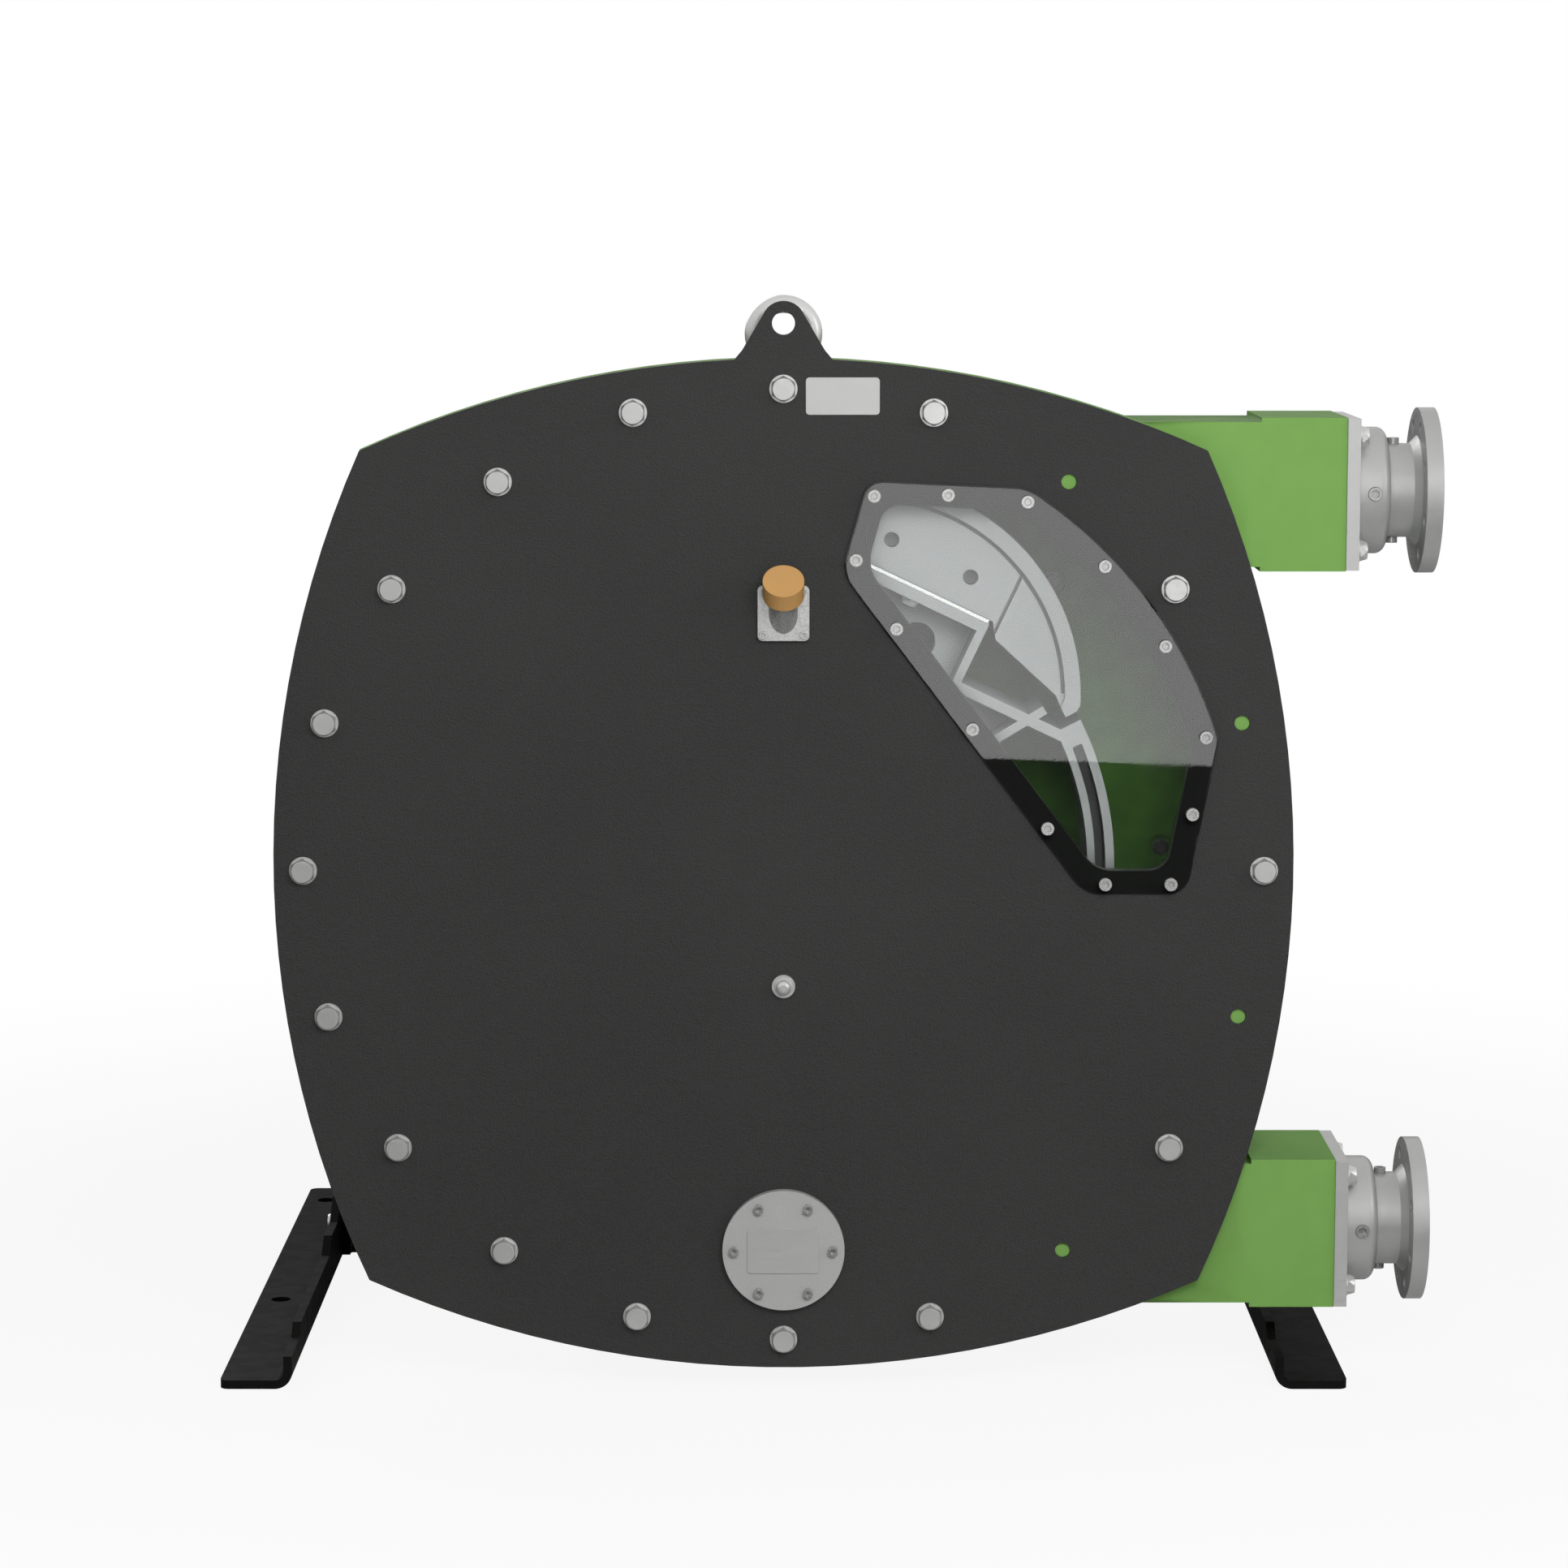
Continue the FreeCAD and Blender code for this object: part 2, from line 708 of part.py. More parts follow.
def make_window():
    """Clear pane on a black seal, held by screws."""
    seal_start = "-window_seal"
    outer = window_shape("seal_outer", 0, "window_arc_r", seal_start, "window_seal")
    inner = window_shape("seal_inner", S.window_rim, "window_sight_r", "-window_seal - 1",
                         "window_seal + 2")
    hole_spots = window_spots()
    depth = S.window_seal + S.pane_thick
    holes = drills(S.window_screw_r + S.fit, depth + 2, at_depth(hole_spots, -depth - 1))
    through = solid("window_holes", holes)
    node("window_seal_ring", cut("window_seal_ring", outer, inner, through))

    pane = window_shape("pane_outer", 0, "window_arc_r", "-window_seal - pane_thick",
                        "pane_thick")
    doc.recompute()
    front = -depth
    bevel = doc.addObject("Part::Chamfer", "pane_bevelled")
    bevel.Base = pane
    bevel.Edges = [
        (i, S.pane_bevel, S.pane_bevel) for i, edge in enumerate(pane.Shape.Edges, start=1)
        if all(abs(vertex.Y - front) < 1e-6 for vertex in edge.Vertexes)
    ]
    node("window_pane", cut("window_pane", bevel, through))
    screw = socket_screw(S.window_head_r, 6, S.window_screw_r, depth + 12)
    node("window_screws", solid("window_screws", placed(screw, at_depth(hole_spots, -depth))))


def make_service_cover():
    """Round cover over the hose check opening, with its blank plate."""
    disc = Plate("service_cover")
    centre = [(0, S.service_z)]
    disc.disc(centre, "service_r", "-service_thick", "service_thick")
    disc.disc(centre, "service_hole_r - fit", 0, "cover_thick - 2")
    disc.drill(SERVICE_SPOTS, f"{M8_R} + fit", "-service_thick", "service_thick")
    node("service_cover", disc.body)
    blank = Plate("service_blank_plate")
    wide, high = S.service_blank_wide / 2, S.service_blank_high / 2
    outline = rounded_plate(-wide, wide, S.service_z - high, S.service_z + high)
    blank.pad([outline], "-service_thick - blank_thick", "blank_thick")
    node("service_blank_plate", blank.body)
    screw = socket_screw(6.5, 8, M8_R, S.service_thick + 12)
    spots = at_depth(SERVICE_SPOTS, -S.service_thick)
    node("service_screws", solid("service_screws", placed(screw, spots)))


def make_filler():
    """Filler neck that leans out of the cover, with its cap."""
    z = S.filler_z
    half_w, half_h = S.filler_wide / 2, S.filler_high / 2
    plate = Plate("filler_plate")
    outline = [(-half_w, z - half_h), (half_w, z - half_h), (half_w, z + half_h),
               (-half_w, z + half_h)]
    plate.pad([rounded(outline, [7] * 4)], "-filler_thick", "filler_thick")
    plate.drill(FILLER_SPOTS, f"{M6_R} + fit", "-filler_thick", "filler_thick")
    plate.drill([(0, z)], "filler_bore_r", "-filler_thick", "filler_thick")
    node("filler_plate", plate.body)
    screw = socket_screw(5.2, 5, M6_R, S.filler_thick + 10)
    spots = at_depth(FILLER_SPOTS, -S.filler_thick)
    node("filler_screws", solid("filler_screws", placed(screw, spots)))

    face = -S.filler_thick
    root = V(0, face, z)
    lean = V(0, -1, 1).normalize()
    long = S.filler_long - S.cap_top - S.fit
    behind = root - lean * 60
    tube = Part.makeCylinder(S.filler_pipe_r, long + 60, behind, lean)
    tube = tube.cut(Part.makeCylinder(S.filler_bore_r, long + 62, behind - lean, lean))
    trim = Part.makeBox(200, 200, 300, V(-100, face, z - 150))
    node("filler_pipe", solid("filler_pipe", tube.cut(trim)))
    top = root + lean * S.filler_long
    base = top - lean * S.cap_high
    cap = Part.makeCylinder(S.cap_r, S.cap_high, base, lean)
    inside = Part.makeCylinder(S.filler_pipe_r + S.fit, S.cap_high - S.cap_top, base, lean)
    cap = cap.cut(inside)
    node("filler_cap", solid("filler_cap", cap))


LEVEL_NECK_R = 8


def make_level_plug():
    """Domed plug at the lubricant level."""
    neck = rod(LEVEL_NECK_R, 0, S.cover_thick).fuse(rod(15.4, -5, 5)).fuse(rod(11.6, -8, 3))
    dome = Part.makeSphere(11, V(0, -8, 0)).common(rod(9.7, -18, 10))
    shape = neck.fuse(dome)
    shape.translate(V(0, 0, S.level_z))
    node("level_plug", solid("level_plug", shape.removeSplitter()))


# ----------------------------------------------------------------- casing

def hose_path(end):
    """Centre line of the hose: a U on the left and two slightly bent legs."""
    y, high, port = S.hose_y, S.hose_arc_r, S.port_z
    middle = (S.bend_start + S.bend_end) / 2
    run = S.bend_end - S.bend_start
    drop = high - port
    bow = (run ** 2 + drop ** 2) / (4 * drop)

    def bend(sign, reverse):
        first = math.asin(run / 2 / bow) / 2
        dip = bow * (1 - math.cos(first))
        x1 = S.bend_start + bow * math.sin(first)
        x2 = S.bend_end - bow * math.sin(first)
        a = V(S.bend_start, y, sign * high)
        b = V(middle, y, sign * (high + port) / 2)
        c = V(S.bend_end, y, sign * port)
        one = Part.Arc(a, V(x1, y, sign * (high - dip)), b).toShape()
        two = Part.Arc(b, V(x2, y, sign * (port + dip)), c).toShape()
        return [two, one] if reverse else [one, two]

    edges = [Part.makeLine(V(end, y, -port), V(S.bend_end, y, -port))]
    edges += bend(-1, True)
    edges.append(Part.makeLine(V(S.bend_start, y, -high), V(0, y, -high)))
    edges.append(Part.Arc(V(0, y, -high), V(-high, y, 0), V(0, y, high)).toShape())
    edges.append(Part.makeLine(V(0, y, high), V(S.bend_start, y, high)))
    edges += bend(1, False)
    edges.append(Part.makeLine(V(S.bend_end, y, port), V(end, y, port)))
    return edges


def tube_along(edges, radius):
    """Round bar along edges in order."""
    wire = Part.Wire(edges)
    start = edges[0].valueAt(edges[0].FirstParameter)
    ring = Part.Wire(Part.Circle(start, X_AXIS, radius).toShape())
    return wire.makePipeShell([ring], True, True)


DRAIN_R = 11
DRAIN_Z = 23 - S.cavity_r
CLAMP_BOLT_LONG = 40         # into the collar


def clamp_places(x):
    """Clamp bolts of both ports at one X."""
    return [(x, S.hose_y + a, sign * S.port_z + b) for sign in (-1, 1)
            for a in (-S.clamp_bolt_at, S.clamp_bolt_at)
            for b in (-S.clamp_bolt_at, S.clamp_bolt_at)]


def make_casing():
    """Casing with its hose track, channels, port boxes and holes."""
    front = "cover_thick + gasket_thick"
    body = Plate("casing_body")
    lip = barrel(S.cover_reach + S.flange_lip, S.cover_corner + S.flange_lip)
    body.pad([lip], front, "flange_thick")
    body.pad([barrel(S.casing_reach, S.casing_corner)], front, "cavity_depth + back_wall")
    boss = rectangle(-S.boss_half, S.boss_half, S.cavity_r + S.drum_wall, S.boss_top)
    body.pad([boss], "hose_y - boss_half", "2 * boss_half")
    pegs = [spot for i, spot in enumerate(BOLT_SPOTS) if i in EMPTY_HOLES]
    body.disc(pegs, "cover_bolt_r", "peg_deep", f"{front} - peg_deep + 1")
    for sign in (-1, 1):
        z = sign * S.port_z
        leg = rectangle(S.channel_run, S.collar_start + 1, z - S.box_half, z + S.box_half)
        body.pad([leg], "hose_y - box_depth_half", "2 * box_depth_half")
        end = rectangle(S.collar_start, S.collar_end, z - S.collar_half, z + S.collar_half)
        body.pad([end], "hose_y - box_depth_half - collar_step",
                 "2 * (box_depth_half + collar_step)")
    body.drill([(0, 0)], "cavity_r", front, "cavity_depth")
    for sign in (-1, 1):
        near = S.hose_arc_r - S.hose_r - 10
        rows = sorted((sign * near, sign * S.cavity_r))
        body.pocket([rectangle(0, S.channel_run, *rows)], front, "cavity_depth")
    body.drill([(0, 0)], "spigot_r + fit", "cover_thick", "cavity_depth + 40")
    body.drill(FITTED_SPOTS, "cover_bolt_r + fit", front, 42)
    spots = ring_spots(S.back_ring, 8)
    back = "cover_thick + gasket_thick + cavity_depth"
    body.drill(spots, 18, back, "back_wall / 2")
    body.drill(spots, f"{M12[2]} + fit", back, "back_wall")
    body.drill([(0, DRAIN_Z)], f"{DRAIN_R} + fit", back, "back_wall")
    for corner in (-1, 1):
        body.pocket([corner_pocket(corner)], "flange_thick + 46", "cavity_depth")
    channel = solid("hose_channel", tube_along(hose_path(S.collar_end + 1), S.hose_r + S.fit))
    deep = CLAMP_BOLT_LONG + 10
    taps = drills(M16[2] + S.fit, deep + 1, clamp_places(S.collar_end - deep), X_AXIS)
    tapped = solid("clamp_taps", taps)
    eye = cylinder_z("eye_hole", "eye_stud_r + fit", "boss_top - eye_stud_long - 3",
                     "eye_stud_long + 4", 0, "hose_y")
    split_casing(cut("casing_whole", body.body, channel, tapped, eye))


def split_casing(whole):
    """The casing as four nodes that meet face to face: its front with the track, its back
    wall and its two port boxes."""
    boxes = []
    for name, rows in (("upper_port_box", ("port_z - collar_half", "cover_reach + 1")),
                       ("lower_port_box", ("-cover_reach - 1", "collar_half - port_z"))):
        region = box(name + "_region", ("split_x", "collar_end + 1"),
                     ("0", "cavity_depth + 60"), rows)
        boxes.append(region)
        node(name, common(name, whole, region))
    rest = cut("casing_rest", whole, *boxes)
    wide = "cover_reach + 5"
    back = box("casing_back_region", (f"-({wide})", wide),
               ("cover_thick + gasket_thick + cavity_depth", "cavity_depth + 60"),
               (f"-({wide})", "boss_top + 1"))
    node("casing_back", common("casing_back", rest, back))
    node("pump_casing", cut("pump_casing", rest, back))


def corner_pocket(side):
    """Cored pocket behind a left corner: side 1 is the upper one."""
    drum = S.cavity_r + S.drum_wall
    wide = S.pocket_wide
    reach = S.casing_corner - S.drum_wall - 8
    near = math.sqrt(drum ** 2 - (reach - wide) ** 2)
    mid = drum / math.sqrt(2)
    a = (-near, side * (reach - wide))
    b = (-(reach - wide), side * near)
    return [
        arc(a, (-mid, side * mid), b),
        line(b, (-(reach - wide) - 1, side * (reach + 1))),
        line((-(reach - wide) - 1, side * (reach + 1)), (-reach, side * reach)),
        line((-reach, side * reach), (-(reach + 1), side * (reach - wide) + side)),
        line((-(reach + 1), side * (reach - wide) + side), a),
    ]


def make_hose():
    """Hose, closed and notched where the two shoes squeeze it at rest."""
    path = hose_path(S.hose_end)
    outer = tube_along(path, S.hose_r)
    tall, depth = 2 * S.hose_arc_r, 4 * S.hose_r
    rim = [polar(tall, angle) for angle in (247, 264, 281, 298, 315, 332, 349)]
    corners = [V(0, 0, 0)] + [V(x, 0, z) for x, z in rim]
    wedge = Part.Face(Part.makePolygon(corners + corners[:1])).extrude(V(0, depth, 0))
    open_upper, open_lower = S.bend_start + 85, S.bend_start - 125
    keep = [
        wedge,
        Part.makeBox(tall, depth, tall, V(open_upper, 0, 0)),
        Part.makeBox(tall, depth, tall, V(open_lower, 0, -tall)),
    ]
    bore = tube_along(path, S.hose_bore_r).common(Part.makeCompound(keep))
    rubber = outer.cut(bore)
    for turn in (0, 180):
        x, z = polar(S.shoe_centre, S.shoe_angle + turn)
        rubber = rubber.cut(Part.makeCylinder(S.shoe_r + S.fit, depth, V(x, 0, z), Y_AXIS))
    node("hose", solid("hose", rubber))


def make_back_fixings():
    """Bolts with washers through the casing's back wall, and the drain plug."""
    sunk = S.back_wall / 2
    seat = S.cover_thick + S.gasket_thick + S.cavity_depth + sunk
    bolt = hex_bolt(*M12_THIN, sunk + S.frame_disc_thick, THIN_WASHER)
    ring = washer(11.6, M12[2] + S.fit, THIN_WASHER)
    spots = at_depth(ring_spots(S.back_ring, 8), seat)
    pairs = [placed(piece, spots) for piece in (bolt, ring)]
    node("back_wall_bolts", solid("back_wall_bolts", Part.makeCompound(pairs)))
    back = seat + sunk
    plug = hexagon(2 * DRAIN_R, back, 12).fuse(rod(DRAIN_R, back - S.back_wall, S.back_wall))
    plug.translate(V(0, 0, DRAIN_Z))
    node("drain_plug", solid("drain_plug", plug))


def make_eye():
    """Lifting eye on the casing's boss."""
    ring = Part.makeTorus(S.eye_ring_r, S.eye_wire_r, V(0, S.hose_y, S.eye_rise), Y_AXIS)
    long, clear = S.eye_stud_long, S.eye_ring_r - S.eye_wire_r
    foot = Part.makeCylinder(S.eye_foot_r, 12, V(0, S.hose_y, S.boss_top))
    neck = Part.makeCone(26, 17, 10, V(0, S.hose_y, S.boss_top + 8))
    stud = Part.makeCylinder(S.eye_stud_r, long, V(0, S.hose_y, S.boss_top - long))
    hole = Part.makeCylinder(clear, 80, V(0, S.hose_y - 40, S.eye_rise), Y_AXIS)
    shape = ring.fuse(foot.fuse(neck).cut(hole)).fuse(stud)
    node("lifting_eye", solid("lifting_eye", shape))


# ------------------------------------------------------------------ ports

HUB_PLUG_R = 9
NECK_PLUG_R = 8
NECK_PLUG_AT = 11            # past the hub


def make_port(name, sign):
    """One port: clamp plate, hub ring and flanged insert."""
    z = f"{sign} * port_z"
    plate = box(f"{name}_slab", ("collar_end", "collar_end + clamp_thick"),
                ("hose_y - clamp_half", "hose_y + clamp_half"),
                (f"{z} - clamp_half", f"{z} + clamp_half"))
    bore = cylinder_x(f"{name}_plate_bore", "insert_r + fit", "collar_end - 1",
                      "clamp_thick + 2", "hose_y", z)
    holes = solid(f"{name}_plate_holes",
                  drills(M16[2] + S.fit, S.clamp_thick + 2, clamp_places(S.collar_end - 1), X_AXIS))
    node(f"{name}_port_plate", cut(f"{name}_port_plate", plate, bore, holes))

    face = S.collar_end + S.clamp_thick
    drum = cylinder_x(f"{name}_hub_drum", "hub_r", "collar_end + clamp_thick", "hub_long",
                      "hose_y", z)
    inside = cylinder_x(f"{name}_hub_bore", "insert_r + fit", "collar_end + clamp_thick - 1",
                        "hub_long + 2", "hose_y", z)
    doc.recompute()
    end = face + S.hub_long
    shoulder = doc.addObject("Part::Fillet", f"{name}_hub_shoulder")
    shoulder.Base = drum
    shoulder.Edges = [
        (i, S.hub_round, S.hub_round) for i, edge in enumerate(drum.Shape.Edges, start=1)
        if all(abs(vertex.X - end) < 1e-6 for vertex in edge.Vertexes)
    ]
    plug_hole = cylinder(f"{name}_hub_plug_hole", f"{HUB_PLUG_R} + fit", "hose_y - hub_r - 1", 14,
                         "collar_end + clamp_thick + hub_long / 2", z)
    node(f"{name}_port_hub", cut(f"{name}_port_hub", shoulder, inside, plug_hole))

    node(f"{name}_port_flange", solid(f"{name}_port_flange", flanged_insert(end, sign)))


def flanged_insert(hub_end, sign):
    """Flange, neck, body and liner turned in one piece, then drilled."""
    inner = S.flange_face - S.port_flange_thick
    liner = S.liner_bore_r + 2.7
    shoulder = S.hose_end + 0.5
    taper = hub_end - 30
    profile = [
        (S.liner_start, S.liner_bore_r), (S.liner_start, liner), (shoulder, liner),
        (shoulder, S.insert_r), (hub_end + S.fit, S.insert_r), (hub_end + S.fit, S.neck_r),
        (inner - S.neck_round, S.neck_r), (inner, S.neck_r + S.neck_round),
        (inner, S.port_flange_r), (S.flange_face, S.port_flange_r),
        (S.flange_face, S.port_bore_r), (hub_end, S.port_bore_r), (taper, S.liner_bore_r),
    ]
    corners = [V(x, 0, r) for x, r in profile]
    shape = Part.Face(Part.makePolygon(corners + corners[:1])).revolve(V(0, 0, 0), X_AXIS, 360)
    holes = [(inner - 1, y, z) for y, z in ring_spots(S.port_ring, 8, 22.5)]
    shape = shape.cut(drills(S.port_hole_r, S.port_flange_thick + 2, holes, X_AXIS))
    for side in (-1, 1):
        seat = V(hub_end + NECK_PLUG_AT, 0, side * (S.neck_r - 5.5))
        hole = Part.makeCylinder(NECK_PLUG_R + S.fit, 20, seat, Z_AXIS * side)
        shape = shape.cut(hole)
    shape.translate(V(0, S.hose_y, sign * S.port_z))
    return shape


def make_port_fixings():
    """Bolts with their washers on both clamp plates, and the small plugs."""
    face = S.collar_end + S.clamp_thick
    places = clamp_places(face)
    bolt = hex_bolt(*M16, S.clamp_thick + CLAMP_BOLT_LONG, WASHER)
    ring = washer(15, M16[2] + S.fit, WASHER)
    pairs = [placed(piece, places, X_AXIS * -1) for piece in (bolt, ring)]
    node("port_plate_bolts", solid("port_plate_bolts", Part.makeCompound(pairs)))
    hub_mid = face + S.hub_long / 2
    neck_mid = face + S.hub_long + NECK_PLUG_AT
    plugs = []
    for sign in (-1, 1):
        z = sign * S.port_z
        front = rod(HUB_PLUG_R, 0, 15).cut(hexagon(10, 0, 6))
        plugs.append(placed(front, [(hub_mid, S.hose_y - S.hub_r - 2, z)]))
        for side in (-1, 1):
            head = rod(NECK_PLUG_R, 0, 12).cut(hexagon(9, 0, 5))
            seat = (neck_mid, S.hose_y, z + side * (S.neck_r + 7.5))
            plugs.append(placed(head, [seat], Z_AXIS * -side))
    node("port_plugs", solid("port_plugs", Part.makeCompound(plugs)))


# ------------------------------------------------------------------ rotor

def sector(inner, outer, start, end):
    """Closed ring sector between two clockwise angles."""
    middle = (start + end) / 2
    return [
        arc(polar(outer, start), polar(outer, middle), polar(outer, end)),
        line(polar(outer, end), polar(inner, end)),
        arc(polar(inner, end), polar(inner, middle), polar(inner, start)),
        line(polar(inner, start), polar(outer, start)),
    ]


def four_ways(points):
    """An outline and its three mirror images."""
    return [
        loop([(u * su, w * sw) for u, w in points])
        for su, sw in ((1, 1), (-1, 1), (-1, -1), (1, -1))
    ]


def spoke(angle):
    """Closed strip of the spoke rib at an angle."""
    along = V(*polar(1, angle), 0)
    side = V(along.y, -along.x, 0) * (S.rib / 2)
    near, far = along * (S.hub_outer_r - 20), along * (S.rotor_rim_inner + 1)
    return loop([(p.x, p.y) for p in (near - side, near + side, far + side, far - side)])


KEY_PROUD = 5.3              # above the shaft
CAP_SUNK = 8                 # hub cap below the hub's face


def make_rotor():
    """Cast rotor: hub, ribs, two seats and a grooved rim."""
    front, wide = "rotor_front", "rotor_wide"
    low = S.seat_top - S.seat_thick
    wall = S.seat_half - S.rib
    bar_low = S.bar_top - S.bar_thick
    tip_angle = math.degrees(math.asin(S.tip_u / S.rotor_rim_r))
    spoke_u = bar_low * math.tan(math.radians(S.spoke_angle))
    rotor = Plate("rotor_casting")
    rotor.disc([(0, 0)], "hub_outer_r", front, wide)
    web = [(spoke_u, bar_low + 4), (wall + 4, bar_low + 4), (wall + 4, low + 4)]
    upper = web + [(-u, w) for u, w in reversed(web)]
    outline = upper + [(-30, 0)] + [(-u, -w) for u, w in upper] + [(30, 0)]
    rotor.pad([loop(outline)], f"{front} + ({wide} - web_thick) / 2", "web_thick")
    seat = [rectangle(-S.seat_half, S.seat_half, *rows)
            for rows in ((low, S.seat_top), (-S.seat_top, -low))]
    rotor.pad(seat, front, wide)
    rotor.pad(four_ways([(wall, 100), (S.seat_half, 100), (S.seat_half, low + 1),
                         (wall, low + 1)]), front, wide)
    bar = [(wall + 1, bar_low), (S.bar_end + 20, bar_low), (S.bar_end + 10, S.bar_top),
           (wall + 1, S.bar_top)]
    rotor.pad(four_ways(bar), front, wide)
    rims = [sector(S.rotor_rim_inner, S.rotor_rim_r, tip_angle + turn, 180 - tip_angle + turn)
            for turn in (0, 180)]
    rotor.pad(rims, front, wide)
    rotor.pad([spoke(a) for a in (S.spoke_angle, 180 - S.spoke_angle, 180 + S.spoke_angle,
                                  -S.spoke_angle)], front, wide)
    grooves = [
        sector(S.rim_groove_inner, S.rim_groove_outer, tip_angle + 4 + turn,
               176 - tip_angle + turn)
        for turn in (0, 180)
    ]
    rotor.pocket(grooves, front, "rim_groove_deep")
    rotor.pocket(grooves, f"{front} + {wide} - rim_groove_deep", "rim_groove_deep")
    rise = S.bar_top + 19.7
    rotor.drill([(u, w) for u in (-34, 34) for w in (-rise, rise)], "web_hole_r", front, wide)
    rotor.drill([(0, 0)], "shaft_r + running", front, wide)
    rotor.drill([(0, 0)], "hub_cap_r", front, f"{CAP_SUNK} + hub_cap_thick")
    key = rectangle(-S.key_half, S.key_half, S.shaft_r - S.key_sunk, S.shaft_r + KEY_PROUD + 0.1)
    rotor.pocket([key], front, wide)
    holes = []
    for sign in (-1, 1):
        holes += [(0, y, sign * (S.seat_top + 1)) for y in shoe_bolt_depths()]
    deep = S.seat_thick + 2
    up = drills(M16[2] + S.fit, deep, [h for h in holes if h[2] > 0], Z_AXIS * -1)
    down = drills(M16[2] + S.fit, deep, [h for h in holes if h[2] < 0], Z_AXIS)
    tool = solid("seat_holes", Part.makeCompound([up, down]))
    node("rotor", cut("rotor", rotor.body, tool), turns=True)


def shoe_bolt_depths():
    """Y of the two bolts under each shoe."""
    middle = S.rotor_front + S.rotor_wide / 2
    return (middle - S.shoe_bolt_apart / 2, middle + S.shoe_bolt_apart / 2)


SHOE_HALF = 263              # half length of a shoe, across its reach


def shoe_outline():
    """Side of the first shoe."""
    seat = S.seat_top + S.shim_thick * S.shim_count
    steps = [(S.seat_half + 3, 0), (123.6, 20.3), (227.6, 52.5), (238.7, 62.5), (252, 73),
             (SHOE_HALF - 1, 59.5)]
    left, right = [], []
    for side, out in ((-1, left), (1, right)):
        out += [(side * u, seat - drop) for u, drop in steps]
        top = S.shoe_centre + math.sqrt(S.shoe_r ** 2 - SHOE_HALF ** 2)
        out.append((side * SHOE_HALF, top))
    edges = [line(a, b) for a, b in zip(right, right[1:])]
    edges.append(arc(right[-1], (0, S.shoe_centre + S.shoe_r), left[-1]))
    back = list(reversed(left))
    edges += [line(a, b) for a, b in zip(back, back[1:])]
    edges.append(line(left[0], right[0]))
    return edges


def face_recess(radius, low):
    """Region inside the rim band, open below."""
    side = S.shoe_r - S.shoe_band - 24
    top = S.shoe_centre + math.sqrt(radius ** 2 - side ** 2)
    return [
        arc((side, top), (0, S.shoe_centre + radius), (-side, top)),
        line((-side, top), (-side, low)),
        line((-side, low), (side, low)),
        line((side, low), (side, top)),
    ]


def make_shoe(name, turn):
    """One shoe: a curved face with a rim band, grooves and two blind holes."""
    start = "rotor_front + (rotor_wide - shoe_wide) / 2"
    back = f"{start} + shoe_wide"
    band = S.shoe_r - S.shoe_band
    shoe = Plate(name + "_casting")
    shoe.pad([shoe_outline()], start, "shoe_wide")
    seat = S.seat_top + S.shim_thick * S.shim_count
    for face in (start, f"{back} - shoe_recess"):
        shoe.pocket([face_recess(band, seat - 113.5)], face, "shoe_recess")
    side = S.shoe_r - S.shoe_band - 26
    low_r = band - S.shoe_groove
    groove = [
        arc(*[(u, S.shoe_centre + w) for u, w in
              (polar(band, 64), polar(band, 0), polar(band, -64))]),
        line(*[(u, S.shoe_centre + w) for u, w in (polar(band, -64), polar(low_r, -64))]),
        arc(*[(u, S.shoe_centre + w) for u, w in
              (polar(low_r, -64), polar(low_r, 0), polar(low_r, 64))]),
        line(*[(u, S.shoe_centre + w) for u, w in (polar(low_r, 64), polar(band, 64))]),
    ]
    ribs = [rectangle(x - 2, x + 2, seat - 33.5, seat + 70.5) for x in (-118, 118)]
    shoe.pocket([groove], start, "shoe_recess + 8")
    shoe.pocket(ribs, start, "shoe_recess + 8")
    spots = [(side * S.shoe_hole_at, seat + S.shoe_hole_rise) for side in (-1, 1)]
    shoe.drill(spots, "shoe_hole_r", start, 26)
    holes = [(0, y, S.seat_top - 1) for y in shoe_bolt_depths()]
    tool = solid(name + "_taps", drills(M16[2] + S.fit, 46, holes, Z_AXIS))
    place_turned(name, cut(name + "_drilled", shoe.body, tool), turn)


def place_turned(label, obj, turn):
    """Enter a turning piece, opposite the first one if turn is 180."""
    holder = doc.addObject("Part::Compound", label)
    holder.Links = [obj]
    obj.Placement = FreeCAD.Placement(V(0, 0, 0), FreeCAD.Rotation(Y_AXIS, turn))
    node(label, holder, turns=True)


def make_shims(name, turn):
    """Stack of thin plates between a seat and its shoe."""
    plates = []
    for i in range(int(S.shim_count)):
        z = S.seat_top + i * S.shim_thick
        middle = S.rotor_front + (S.rotor_wide - S.shoe_wide) / 2
        plate = Part.makeBox(2 * S.seat_half - 4, S.shoe_wide, S.shim_thick,
                             V(2 - S.seat_half, middle, z))
        holes = [(0, y, z - 1) for y in shoe_bolt_depths()]
        plates.append(plate.cut(drills(M16[2] + S.fit, S.shim_thick + 2, holes, Z_AXIS)))
    place_turned(name, solid(name + "_stack", Part.makeCompound(plates)), turn)


def make_shoe_bolts():
    """Bolts that hold the shoes, headed under the seats."""
    low = S.seat_top - S.seat_thick
    bolt = hex_bolt(*M16, S.seat_thick + S.shim_thick * S.shim_count + 30)
    up = placed(bolt, [(0, y, low) for y in shoe_bolt_depths()], Z_AXIS)
    down = placed(bolt, [(0, y, -low) for y in shoe_bolt_depths()], Z_AXIS * -1)
    node("shoe_bolts", solid("shoe_bolts", Part.makeCompound([up, down])), turns=True)


